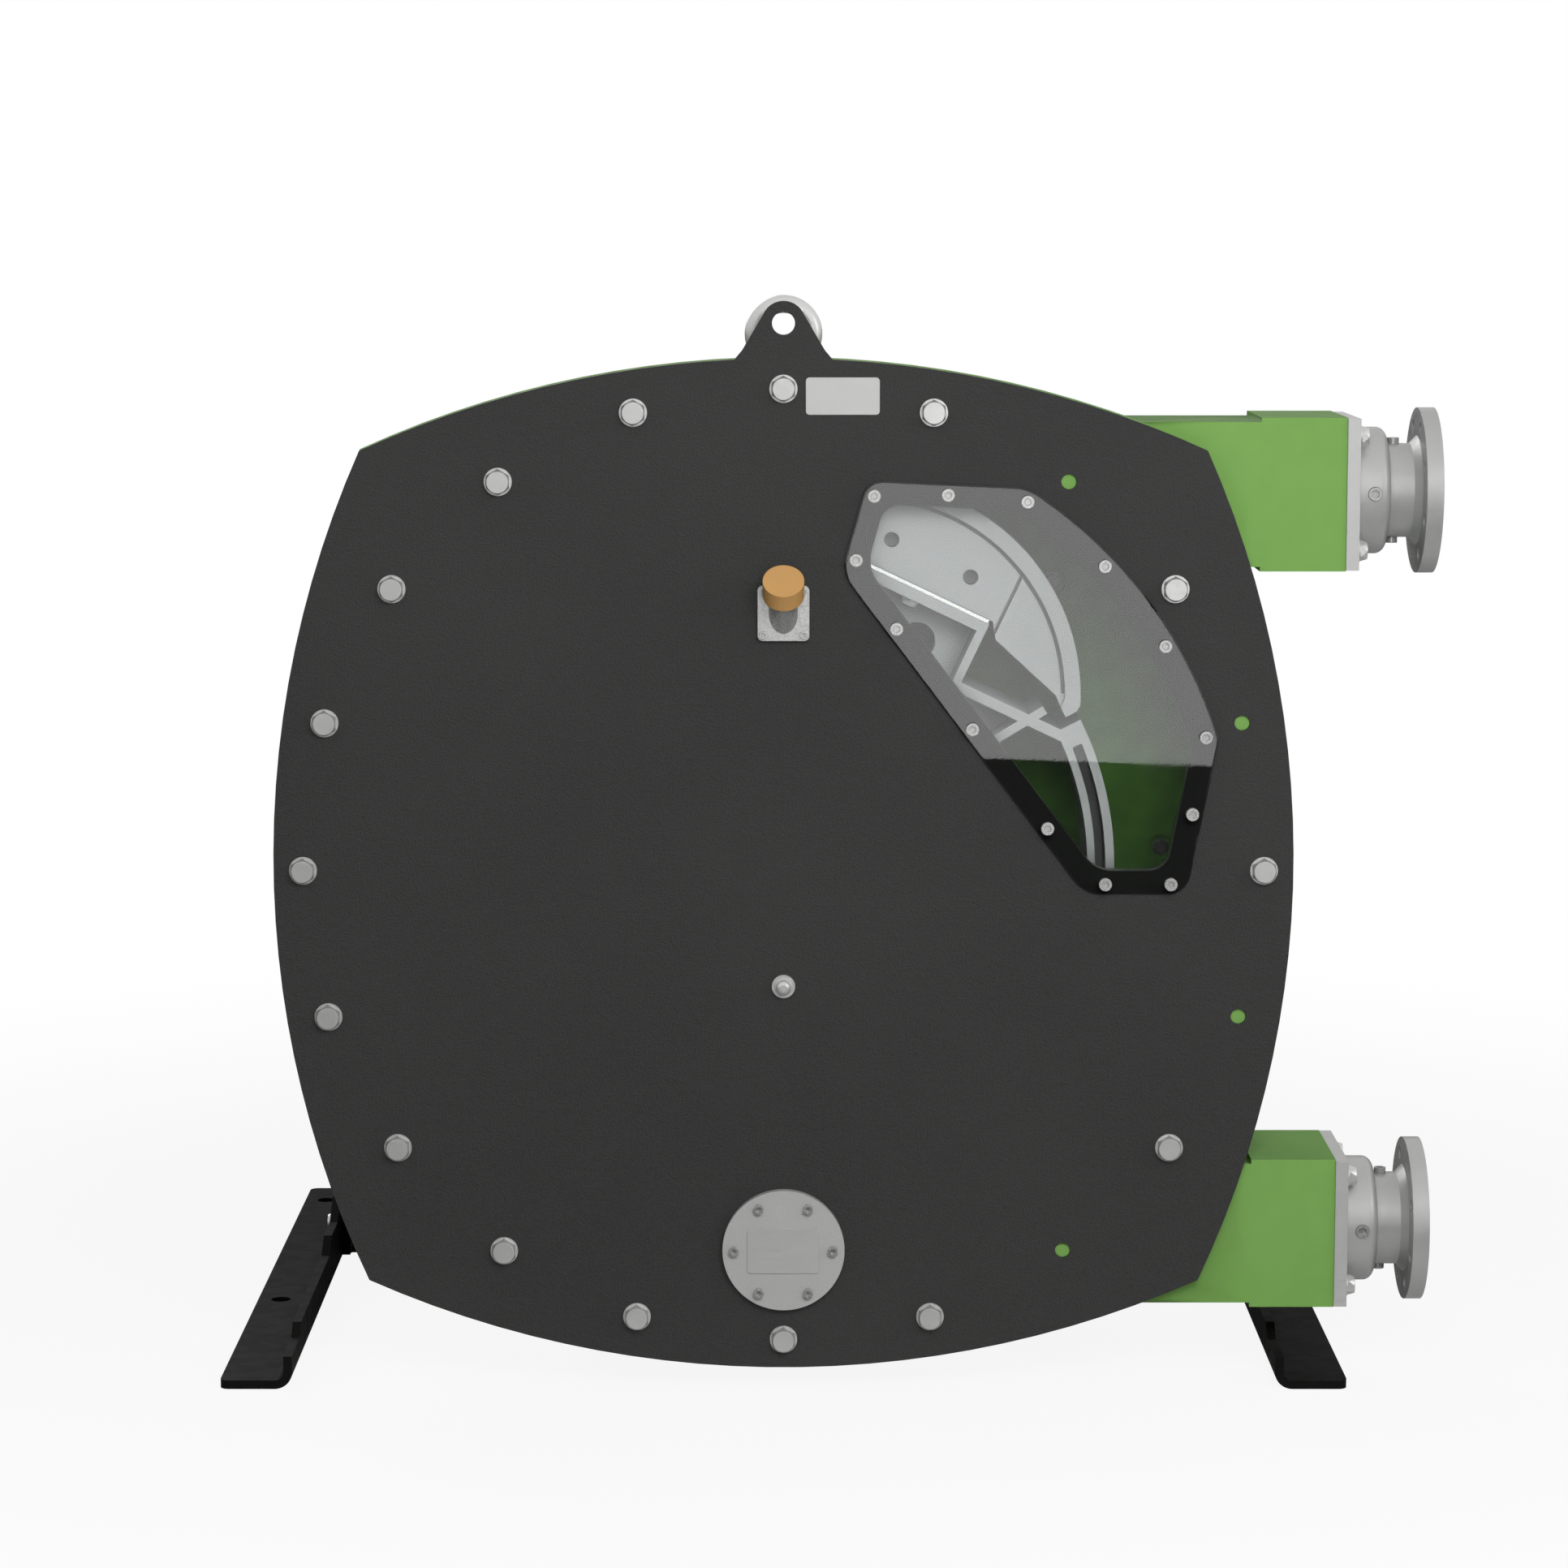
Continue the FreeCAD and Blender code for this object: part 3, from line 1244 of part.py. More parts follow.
def make_shaft():
    """Drive shaft with its key and the cap that holds the rotor on."""
    stud = M20[2]
    shaft = Plate("drive_shaft")
    shaft.disc([(0, 0)], "shaft_r", "shaft_front", "shaft_end - shaft_front")
    slot = rectangle(-S.key_half, S.key_half, S.shaft_r - S.key_sunk, S.shaft_r + KEY_PROUD)
    shaft.pocket([slot], "key_start", "key_long")
    shaft.drill([(0, 0)], f"{stud} + fit", "shaft_front", 50)
    node("drive_shaft", shaft.body, turns=True)
    gap = 0.1
    key = box("key_bar", ("running - key_half", "key_half - running"),
              (f"key_start + {gap}", f"key_start + key_long - {gap}"),
              ("shaft_r - key_sunk + running", f"shaft_r + {KEY_PROUD}"))
    node("rotor_key", key, turns=True)
    cap = cylinder("cap_disc", "hub_cap_r - fit", f"rotor_front + {CAP_SUNK}", "hub_cap_thick")
    hole = cylinder("cap_hole", f"{stud} + fit", f"rotor_front + {CAP_SUNK - 1}",
                    "hub_cap_thick + 2")
    node("hub_cap", cut("hub_cap", cap, hole), turns=True)
    bolt = placed(hex_bolt(*M20, 50), [(0, S.rotor_front + CAP_SUNK, 0)])
    node("hub_cap_bolt", solid("hub_cap_bolt", bolt), turns=True)


# -------------------------------------------------- bearings and support

BACK = "cover_thick + gasket_thick + cavity_depth + back_wall"


HOUSING_SPOTS = ring_spots(S.housing_ring, 8, 22.5)
GEAR_SPOTS = ring_spots(S.gear_ring, 8, 22.5)


def make_bearings():
    """Bearing housing in the casing's back, its bearings and seal."""
    back = S.cover_thick + S.gasket_thick + S.cavity_depth + S.back_wall
    face = back + S.frame_disc_thick
    inside = back - S.back_wall + 2
    bore = inside + S.seal_wide + 2
    housing = Plate("bearing_housing")
    housing.disc([(0, 0)], "spigot_r", inside, face + 1 - inside)
    housing.disc([(0, 0)], "housing_flange_r", f"{BACK} + frame_disc_thick", "housing_flange")
    housing.disc([(0, 0)], "housing_r", face, S.housing_end - face)
    housing.disc([(0, 0)], "gear_flange_r", "housing_end - gear_flange", "gear_flange")
    housing.drill([(0, 0)], "bearing_r", bore, S.housing_end - inside)
    housing.drill([(0, 0)], "seal_r + fit", inside, "seal_wide + 3")
    housing.drill(HOUSING_SPOTS, f"{M16[2]} + fit", face, "housing_flange")
    housing.drill(GEAR_SPOTS, f"{M12[2]} + fit", "housing_end - gear_flange", "gear_flange")
    node("bearing_housing", housing.body)
    bolt = placed(hex_bolt(*M16, S.housing_flange + S.frame_disc_thick, WASHER),
                  at_depth(HOUSING_SPOTS, 0))
    bolt.rotate(V(0, 0, 0), X_AXIS, 180)
    bolt.translate(V(0, face + S.housing_flange, 0))
    node("housing_bolts", solid("housing_bolts", bolt))
    seal_ring = Plate("shaft_seal").disc([(0, 0)], "seal_r", inside, "seal_wide")
    seal_ring.drill([(0, 0)], "shaft_r + running", inside, "seal_wide")
    node("shaft_seal", seal_ring.body)
    for name, start in (("front_bearing", bore), ("rear_bearing", S.housing_end - 46)):
        ring = Plate(name).disc([(0, 0)], "bearing_r - 0.02", start, "bearing_wide")
        ring.drill([(0, 0)], "shaft_r + running", start, "bearing_wide")
        node(name, ring.body)


def yz_slab(points, x, thick):
    """Sheet cut to an outline in Y and Z, from X = x to the right."""
    corners = [V(x, y, z) for y, z in points]
    face = Part.Face(Part.makePolygon(corners + corners[:1]))
    return face.extrude(V(thick, 0, 0))


def frame_bolt_places():
    """Y and Z of the bolts between frame and feet."""
    step = S.frame_end_long / 4
    low = (S.bar_low + S.bar_high) / 2 - 3 - S.axis_height
    return [(S.frame_end_start + 45 + i * step, low) for i in range(4)]


def make_support():
    """Welded frame behind the casing that carries the pump on its feet."""
    back = S.cover_thick + S.gasket_thick + S.cavity_depth + S.back_wall
    face = back + S.frame_disc_thick
    floor = -S.axis_height
    low, top = floor + S.bar_low, floor + S.bar_high
    start, long = S.frame_end_start, S.frame_end_long
    far = start + long - 20
    disc = Plate("frame_disc").disc([(0, 0)], "frame_disc_r", BACK, "frame_disc_thick")
    disc.drill([(0, 0)], "spigot_r + fit", BACK, "frame_disc_thick")
    disc.drill(ring_spots(S.back_ring, 8), f"{M12[2]} + fit", BACK, "frame_disc_thick")
    disc.drill(HOUSING_SPOTS, f"{M16[2]} + fit", BACK, "frame_disc_thick")
    parts = [disc.body]
    side = [(face, low), (far, low), (far, top + 24), (start, top + 24), (face + 110, -190),
            (face, -120)]
    for sign in (-1, 1):
        x = sign * S.gusset_x - S.plate / 2
        parts.append(solid(f"gusset_{'right' if sign > 0 else 'left'}", yz_slab(side, x, S.plate)))
        inner = sign * (S.foot_web_x - S.plate)
        x0 = min(inner, sign * S.foot_web_x)
        end = Part.makeBox(S.plate, long, top - low, V(x0, start, low))
        holes = [(x0 - 1, y, z) for y, z in frame_bolt_places()]
        end = end.cut(drills(M16[2] + S.fit, S.plate + 2, holes, X_AXIS))
        parts.append(solid(f"frame_end_{'right' if sign > 0 else 'left'}", end))
    reach = "foot_web_x - plate"
    for name, y in (("near", start + 15), ("far", far - S.plate)):
        parts.append(box(f"cross_{name}", (f"-({reach})", reach), (y, f"{y} + plate"),
                         (low, top)))
    node("support_frame", fuse("support_frame", *parts))


FOOT_HIGH = 112              # rear part of a foot's web


def foot_profile():
    """Height of a foot's web along its length."""
    floor = -S.axis_height
    front, rear = -1, S.foot_rear - S.foot_front + 1
    steps = [(front, 45), (98, 45), (120, 62), (500, 62), (536, 84), (620, 84), (670, FOOT_HIGH),
             (rear, FOOT_HIGH), (rear, -1), (front, -1)]
    return [(S.foot_front + y, floor + z) for y, z in steps]


def make_foot(name, sign):
    """Bent foot: a flat base with two holes and a web that rises to the rear."""
    floor = -S.axis_height
    web, outer, t = S.foot_web_x, S.foot_outer_x, S.plate
    bend = S.foot_bend
    far = bend + t
    middle = far * (1 - math.sqrt(0.5))
    near = bend * (1 - math.sqrt(0.5))
    high = floor + FOOT_HIGH + 18
    ell = [
        Part.makeLine(V(web, 0, high), V(web, 0, floor + far)),
        Part.Arc(V(web, 0, floor + far), V(web + middle, 0, floor + middle),
                 V(web + far, 0, floor)).toShape(),
        Part.makeLine(V(web + far, 0, floor), V(outer, 0, floor)),
        Part.makeLine(V(outer, 0, floor), V(outer, 0, floor + t)),
        Part.makeLine(V(outer, 0, floor + t), V(web + far, 0, floor + t)),
        Part.Arc(V(web + far, 0, floor + t), V(web + t + near, 0, floor + t + near),
                 V(web + t, 0, floor + far)).toShape(),
        Part.makeLine(V(web + t, 0, floor + far), V(web + t, 0, high)),
        Part.makeLine(V(web + t, 0, high), V(web, 0, high)),
    ]
    bent = Part.Face(Part.Wire(ell)).extrude(V(0, S.foot_rear - S.foot_front, 0))
    bent.translate(V(0, S.foot_front, 0))
    bent = bent.common(yz_slab(foot_profile(), web - 1, outer - web + 2))
    corners = [e for e in bent.Edges if e.Length < t + 0.01
               and all(abs(v.X - outer) < 0.01 for v in e.Vertexes)
               and abs(e.Vertexes[0].Y - e.Vertexes[-1].Y) < 0.01]
    bent = bent.makeFillet(S.foot_corner_r, corners)
    holes = [(S.foot_hole_x, y, floor - 1) for y in (S.foot_hole_front, S.foot_hole_rear)]
    bent = bent.cut(drills(S.foot_hole_r, t + 2, holes, Z_AXIS))
    side = [(web - 1, y, z) for y, z in frame_bolt_places()]
    bent = bent.cut(drills(M16[2] + S.fit, t + 2, side, X_AXIS))
    if sign < 0:
        bent = bent.mirror(V(0, 0, 0), X_AXIS)
    node(name, solid(name, bent))


def make_frame_bolts():
    """Bolts, washers and nuts between the frame and the feet."""
    bolts, rings = [], []
    outer = S.foot_web_x + S.plate
    flats, shank = M16[0], M16[2]
    nut = hexagon(flats, 2 * S.plate, 13).cut(rod(shank, 2 * S.plate, 13))
    bolt = hex_bolt(*M16, 2 * S.plate + 16, WASHER)
    ring = washer(15, shank + S.fit, WASHER)
    nuts = []
    for sign in (-1, 1):
        places = [(sign * outer, y, z) for y, z in frame_bolt_places()]
        inward = X_AXIS * -sign
        bolts.append(placed(bolt, places, inward))
        rings.append(placed(ring, places, inward))
        nuts.append(placed(nut, places, inward))
    node("frame_bolts", solid("frame_bolts", Part.makeCompound(bolts)))
    node("frame_washers", solid("frame_washers", Part.makeCompound(rings)))
    node("frame_nuts", solid("frame_nuts", Part.makeCompound(nuts)))


# ---------------------------------------------------- gear unit and motor

def make_gear_unit():
    """Closed gear unit on the bearing housing, hollow inside."""
    start, end, wall = S.housing_end, S.gear_end, 14
    unit = Plate("gear_casting")
    unit.disc([(0, 0)], "gear_flange_r", start, "gear_flange - 2")
    unit.disc([(0, 0)], "gear_r", "housing_end + gear_flange - 4",
              "gear_end - housing_end - gear_flange + 4")
    unit.disc([(0, 0)], "motor_r + 10", end - 1, "motor_front - gear_end + 1")
    unit.drill([(0, 0)], f"gear_r - {wall}", start + 2 * wall + 2, end - start - 3 * wall - 2)
    unit.drill([(0, 0)], "shaft_r + running", start, 40)
    unit.drill([(0, 0)], "motor_shaft_r + running", end - wall - 6, "motor_front - gear_end + 24")
    unit.drill(GEAR_SPOTS, f"{M12[2]} + fit", start, 18)
    ribs = []
    for angle in range(15, 360, 30):
        fin = Part.makeBox(8, end - start - 40, 16, V(-4, start + 30, S.gear_r - 4))
        ribs.append(fin.rotated(V(0, 0, 0), Y_AXIS, angle))
    ribs = solid("gear_ribs", Part.makeCompound(ribs))
    node("gear_unit", fuse("gear_unit", unit.body, ribs))
    screws = placed(hex_bolt(*M12, S.gear_flange + 14, 2),
                    at_depth(GEAR_SPOTS, S.housing_end - S.gear_flange))
    node("gear_unit_bolts", solid("gear_unit_bolts", screws))


def make_motor():
    """Finned motor with its shaft, fan, cowl and terminal box."""
    front, end = S.motor_front, S.motor_end
    front_shield, rear_shield, past_shield = 14, 8, 10
    body = Plate("motor_casting")
    body.disc([(0, 0)], "motor_r", "motor_front", "motor_end - motor_front")
    body.disc([(0, 0)], "motor_r + motor_fin", "motor_front", front_shield)
    body.disc([(0, 0)], "motor_r + motor_fin", f"motor_end - {rear_shield}", rear_shield)
    body.drill([(0, 0)], "motor_shaft_r + running", "motor_front", "motor_end - motor_front")
    fins = []
    long = end - front - front_shield
    for angle in range(40, 330, 10):
        fin = Part.makeBox(S.motor_fin_thick, long, S.motor_fin + 1,
                           V(-S.motor_fin_thick / 2, front + front_shield - 2, S.motor_r - 1))
        fins.append(fin.rotated(V(0, 0, 0), Y_AXIS, angle))
    fins = solid("motor_fins", Part.makeCompound(fins))
    node("motor_body", fuse("motor_body", body.body, fins))
    terminal = box("terminal_case", ("-terminal_half", "terminal_half"),
                   ("terminal_start", "terminal_end"), ("motor_r - 12", "motor_r + terminal_high"))
    clear = cylinder("terminal_clear", "motor_r", "terminal_start - 10",
                     "terminal_end - terminal_start + 20")
    node("terminal_box", cut("terminal_box", terminal, clear))

    shaft = cylinder("motor_bar", "motor_shaft_r", "gear_end - 14", "motor_end - gear_end + 64")
    node("motor_shaft", shaft)
    hub = rod(S.fan_hub_r, end + past_shield, S.fan_long)
    hub = hub.cut(rod(S.motor_shaft_r + 0.01, end + past_shield, S.fan_long))
    blade = Part.makeBox(4, S.fan_long - 2, 74, V(-2, end + past_shield + 1, S.fan_hub_r - 2))
    blades = [blade.rotated(V(0, 0, 0), Y_AXIS, angle) for angle in range(0, 360, 45)]
    node("motor_fan", solid("motor_fan", hub.fuse(blades)))

    inner, skin = S.motor_r + S.motor_fin + S.fit, S.cowl_skin
    lap = rear_shield + 2
    long = S.cowl_end - end + lap
    shell = rod(inner + skin, end - lap, long).cut(rod(inner, end - lap - 1, long + 1 - skin))
    through = S.cowl_end - skin - 1.5
    holes = [rod(S.cowl_hole_r, through, 6)]
    for ring, count in ((18, 6), (34, 12), (50, 18), (66, 24), (82, 30), (98, 36)):
        holes.append(placed(rod(S.cowl_hole_r, 0, 6), at_depth(ring_spots(ring, count), through)))
    shell = shell.cut(Part.makeCompound(holes))
    node("fan_cowl", solid("fan_cowl", shell))


# ------------------------------------------------------------------- main

def build():
    """Build every piece."""
    make_cover()
    make_window()
    make_service_cover()
    make_filler()
    make_level_plug()
    make_casing()
    make_hose()
    make_back_fixings()
    make_eye()
    make_port("upper", 1)
    make_port("lower", -1)
    make_port_fixings()
    make_rotor()
    make_shoe("shoe_a", 0)
    make_shoe("shoe_b", 180)
    make_shims("shims_a", 0)
    make_shims("shims_b", 180)
    make_shoe_bolts()
    make_shaft()
    make_bearings()
    make_support()
    make_foot("foot_left", -1)
    make_foot("foot_right", 1)
    make_frame_bolts()
    make_gear_unit()
    make_motor()


def check_and_write():
    """Refuse failed objects, then write one file for each piece."""
    failed = [o.Name for o in doc.Objects if {"Invalid", "Error"} & set(o.State)]
    if failed:
        raise RuntimeError(f"failed objects: {failed}")
    for obj in NODES:
        shape = obj.Shape
        if shape.isNull() or not shape.isValid() or not shape.Solids:
            raise RuntimeError(f"bad shape: {obj.Label}")
    for obj in NODES:
        obj.Shape.exportStep(f"parts/{obj.Label}.step")


build()
doc.recompute()
check_and_write()
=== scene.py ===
"""Finishes, hose, seams, small fittings and studio of a large peristaltic hose pump.

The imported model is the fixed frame, in metres: X to the ports, Y to the back, Z up.
"""

from __future__ import annotations

import logging
import math
from dataclasses import dataclass, field
from enum import Enum

import bmesh
import bpy
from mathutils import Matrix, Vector

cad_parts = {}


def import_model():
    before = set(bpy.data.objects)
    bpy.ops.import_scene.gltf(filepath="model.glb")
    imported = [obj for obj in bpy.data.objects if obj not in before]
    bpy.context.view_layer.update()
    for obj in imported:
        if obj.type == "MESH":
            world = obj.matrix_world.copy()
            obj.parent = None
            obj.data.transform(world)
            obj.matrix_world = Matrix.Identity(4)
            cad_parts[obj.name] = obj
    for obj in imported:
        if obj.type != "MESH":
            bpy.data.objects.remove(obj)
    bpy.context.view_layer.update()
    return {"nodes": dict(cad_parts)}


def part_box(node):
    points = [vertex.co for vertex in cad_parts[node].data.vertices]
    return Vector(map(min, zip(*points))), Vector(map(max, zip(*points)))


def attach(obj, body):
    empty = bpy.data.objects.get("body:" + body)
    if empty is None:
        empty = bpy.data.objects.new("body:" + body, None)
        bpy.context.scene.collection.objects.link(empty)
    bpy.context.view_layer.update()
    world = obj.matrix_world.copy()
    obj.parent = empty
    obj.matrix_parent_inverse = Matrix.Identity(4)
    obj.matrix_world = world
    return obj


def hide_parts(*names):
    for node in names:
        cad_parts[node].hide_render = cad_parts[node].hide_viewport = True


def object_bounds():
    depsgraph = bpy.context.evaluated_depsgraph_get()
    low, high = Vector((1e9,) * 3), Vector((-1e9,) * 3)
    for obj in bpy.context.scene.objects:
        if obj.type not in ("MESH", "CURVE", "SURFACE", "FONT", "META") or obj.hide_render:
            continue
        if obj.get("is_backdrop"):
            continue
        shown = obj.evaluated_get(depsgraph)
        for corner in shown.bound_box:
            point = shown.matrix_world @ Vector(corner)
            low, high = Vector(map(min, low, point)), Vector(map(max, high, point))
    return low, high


LOG = logging.getLogger("hose_pump")
Colour = tuple[float, float, float]
Triple = tuple[float, float, float]
AXIS_HEIGHT = 0.710      # rotor axis above the floor
DRUM_BACK = -0.553       # within the casing's back wall, past the seats of its bolts


# ------------------------------------------------------------------ node trees


class Tree:
    """Short way of adding nodes to one node tree and joining them."""

    def __init__(self, tree: bpy.types.NodeTree) -> None:
        """Wrap a tree.

        Args:
            tree: The node tree to add to.
        """
        self.tree = tree

    def add(self, kind: str, **settings: object) -> bpy.types.Node:
        """Add a node.

        Args:
            kind: The node's type name.
            settings: Properties set on the node.

        Returns:
            The new node.
        """
        node = self.tree.nodes.new(kind)
        for key, value in settings.items():
            setattr(node, key, value)
        return node

    def feed(self, socket: bpy.types.NodeSocket, source: object) -> None:
        """Link a socket, or set its value.

        Args:
            socket: The input.
            source: An output socket to link, or a plain value.
        """
        if isinstance(source, bpy.types.NodeSocket):
            self.tree.links.new(source, socket)
        else:
            socket.default_value = source

    def fill(self, node: bpy.types.Node, **sources: object) -> bpy.types.Node:
        """Feed a node's inputs by name, with spaces written as underscores.

        Args:
            node: The node.
            sources: A socket or a value for each input.

        Returns:
            The same node.
        """
        for key, source in sources.items():
            self.feed(node.inputs[key.replace("_", " ")], source)
        return node

    def math(self, operation: str, *values: object, clamp: bool = False) -> bpy.types.NodeSocket:
        """Add a Math node.

        Args:
            operation: The node's operation.
            values: Its inputs in order.
            clamp: Keep the result between 0 and 1.

        Returns:
            The result socket.
        """
        node = self.add("ShaderNodeMath", operation=operation, use_clamp=clamp)
        for socket, value in zip(node.inputs, values):
            self.feed(socket, value)
        return node.outputs[0]

    def vector(self, operation: str, *values: object) -> bpy.types.Node:
        """Add a Vector Math node.

        Args:
            operation: The node's operation.
            values: Its inputs in order.

        Returns:
            The node.
        """
        node = self.add("ShaderNodeVectorMath", operation=operation)
        for socket, value in zip(node.inputs, values):
            self.feed(socket, value)
        return node

    def ramp(self, value: object, low: float, high: float, start: object = 0.0,
             end: object = 1.0) -> bpy.types.NodeSocket:
        """Map a value from one range to another, clamped.

        Args:
            value: The socket to map.
            low: Input value that gives start.
            high: Input value that gives end.
            start: Result at low.
            end: Result at high.

        Returns:
            The result socket.
        """
        node = self.add("ShaderNodeMapRange", interpolation_type="SMOOTHSTEP")
        for name, source in zip(("Value", "From Min", "From Max", "To Min", "To Max"),
                                (value, low, high, start, end)):
            self.feed(node.inputs[name], source)
        return node.outputs["Result"]

    def mix(self, factor: object, first: object, second: object) -> bpy.types.NodeSocket:
        """Mix two colours.

        Args:
            factor: Share of the second colour.
            first: Colour at 0.
            second: Colour at 1.

        Returns:
            The mixed colour.
        """
        node = self.add("ShaderNodeMix", data_type="RGBA")
        self.feed(node.inputs[0], factor)
        for socket, source in zip((node.inputs[6], node.inputs[7]), (first, second)):
            self.feed(socket, (*source, 1.0) if isinstance(source, tuple) else source)
        return node.outputs[2]

    def noise(self, vector: object, scale: object, detail: float = 2.0,
              rough: float = 0.5) -> bpy.types.NodeSocket:
        """Add a noise texture.

        Args:
            vector: Where it is read.
            scale: Its scale.
            detail: Octaves.
            rough: Weight of the finer octaves.

        Returns:
            Its value.
        """
        node = self.add("ShaderNodeTexNoise")
        self.fill(node, Vector=vector, Scale=scale, Detail=detail, Roughness=rough)
        return node.outputs[0]

    def use(self, group: bpy.types.NodeTree, **sources: object) -> bpy.types.Node:
        """Place a shader group.

        Args:
            group: The group's tree.
            sources: A socket or a value for each of its inputs.

        Returns:
            The group node.
        """
        node = self.add("ShaderNodeGroup")
        node.node_tree = group
        return self.fill(node, **sources)

    def end(self, surface: object, kind: str = "Material") -> None:
        """Add the output node.

        Args:
            surface: The shader socket that it shows.
            kind: "Material" or "World".
        """
        self.feed(self.add(f"ShaderNodeOutput{kind}").inputs["Surface"], surface)


def empty_material(name: str) -> tuple[bpy.types.Material, Tree]:
    """Make a material without nodes.

    Args:
        name: Its name.

    Returns:
        The material and its tree.
    """
    material = bpy.data.materials.new(name)
    material.use_nodes = True
    material.node_tree.nodes.clear()
    return material, Tree(material.node_tree)


def link(name: str, data: bpy.types.ID) -> bpy.types.Object:
    """Make an object and put it in the scene.

    Args:
        name: Its name.
        data: Its mesh, camera or light.

    Returns:
        The object.
    """
    obj = bpy.data.objects.new(name, data)
    bpy.context.scene.collection.objects.link(obj)
    return obj


SOCKETS = {"value": "NodeSocketFloat", "vector": "NodeSocketVector", "whole": "NodeSocketInt",
           "shape": "NodeSocketGeometry", "skin": "NodeSocketMaterial"}


def new_group(name: str, kind: str, inputs: dict[str, str],
              outputs: dict[str, str]) -> tuple[Tree, bpy.types.Node, bpy.types.Node]:
    """Start a node group with named sockets.

    Args:
        name: The group's name.
        kind: "ShaderNodeTree" or "GeometryNodeTree".
        inputs: Input names and the kind of each, a key of SOCKETS.
        outputs: The same for the outputs.

    Returns:
        The tree, its input node and its output node.
    """
    group = bpy.data.node_groups.new(name, kind)
    for label, socket in inputs.items():
        group.interface.new_socket(label, in_out="INPUT", socket_type=SOCKETS[socket])
    for label, socket in outputs.items():
        group.interface.new_socket(label, in_out="OUTPUT", socket_type=SOCKETS[socket])
    tree = Tree(group)
    return tree, tree.add("NodeGroupInput"), tree.add("NodeGroupOutput")


# ------------------------------------------------------------- shared effects


class Grain(Enum):
    """The small relief that a finish has."""

    SPECKLE = "speckle"      # textured powder coat
    ENAMEL = "enamel"        # sprayed satin paint
    CAST = "cast"            # sand-cast metal
    ROLLED = "rolled"        # sheet drawn or brushed one way
    LATHE = "lathe"          # turned about an axis
    WRAPPED = "wrapped"      # rubber cured in wound cloth tape
    MOULDED = "moulded"      # fine plastic or rubber skin


class GrainGroup:
    """One grain's node group while it is being made."""

    def __init__(self, grain: Grain) -> None:
        """Start the group.

        Args:
            grain: The grain.
        """
        inputs = {"Vector": "vector", "Scale": "value", "Axis": "vector", "Centre": "vector"}
        self.tree, source, self.target = new_group(
            f"grain_{grain.value}", "ShaderNodeTree", inputs, {"Mask": "value", "Height": "value"})
        self.vector, self.scale, self.axis, self.centre = (source.outputs[k] for k in inputs)

    def finer(self, share: float) -> bpy.types.NodeSocket:
        """Scale the grain's own scale.

        Args:
            share: What it is multiplied by.

        Returns:
            The new scale.
        """
        return self.tree.math("MULTIPLY", self.scale, share)

    def total(self, *terms: tuple[object, float]) -> bpy.types.NodeSocket:
        """Add weighted values.

        Args:
            terms: Each value with its weight.

        Returns:
            Their sum.
        """
        result = None
        for value, weight in terms:
            part = value if weight == 1.0 else self.tree.math("MULTIPLY", value, weight)
            result = part if result is None else self.tree.math("ADD", result, part)
        return result

    def close(self, mask: object, height: object) -> None:
        """Join the two results to the output node.

        Args:
            mask: Result for tone and gloss.
            height: Result for the bump.
        """
        self.tree.fill(self.target, Mask=mask, Height=height)


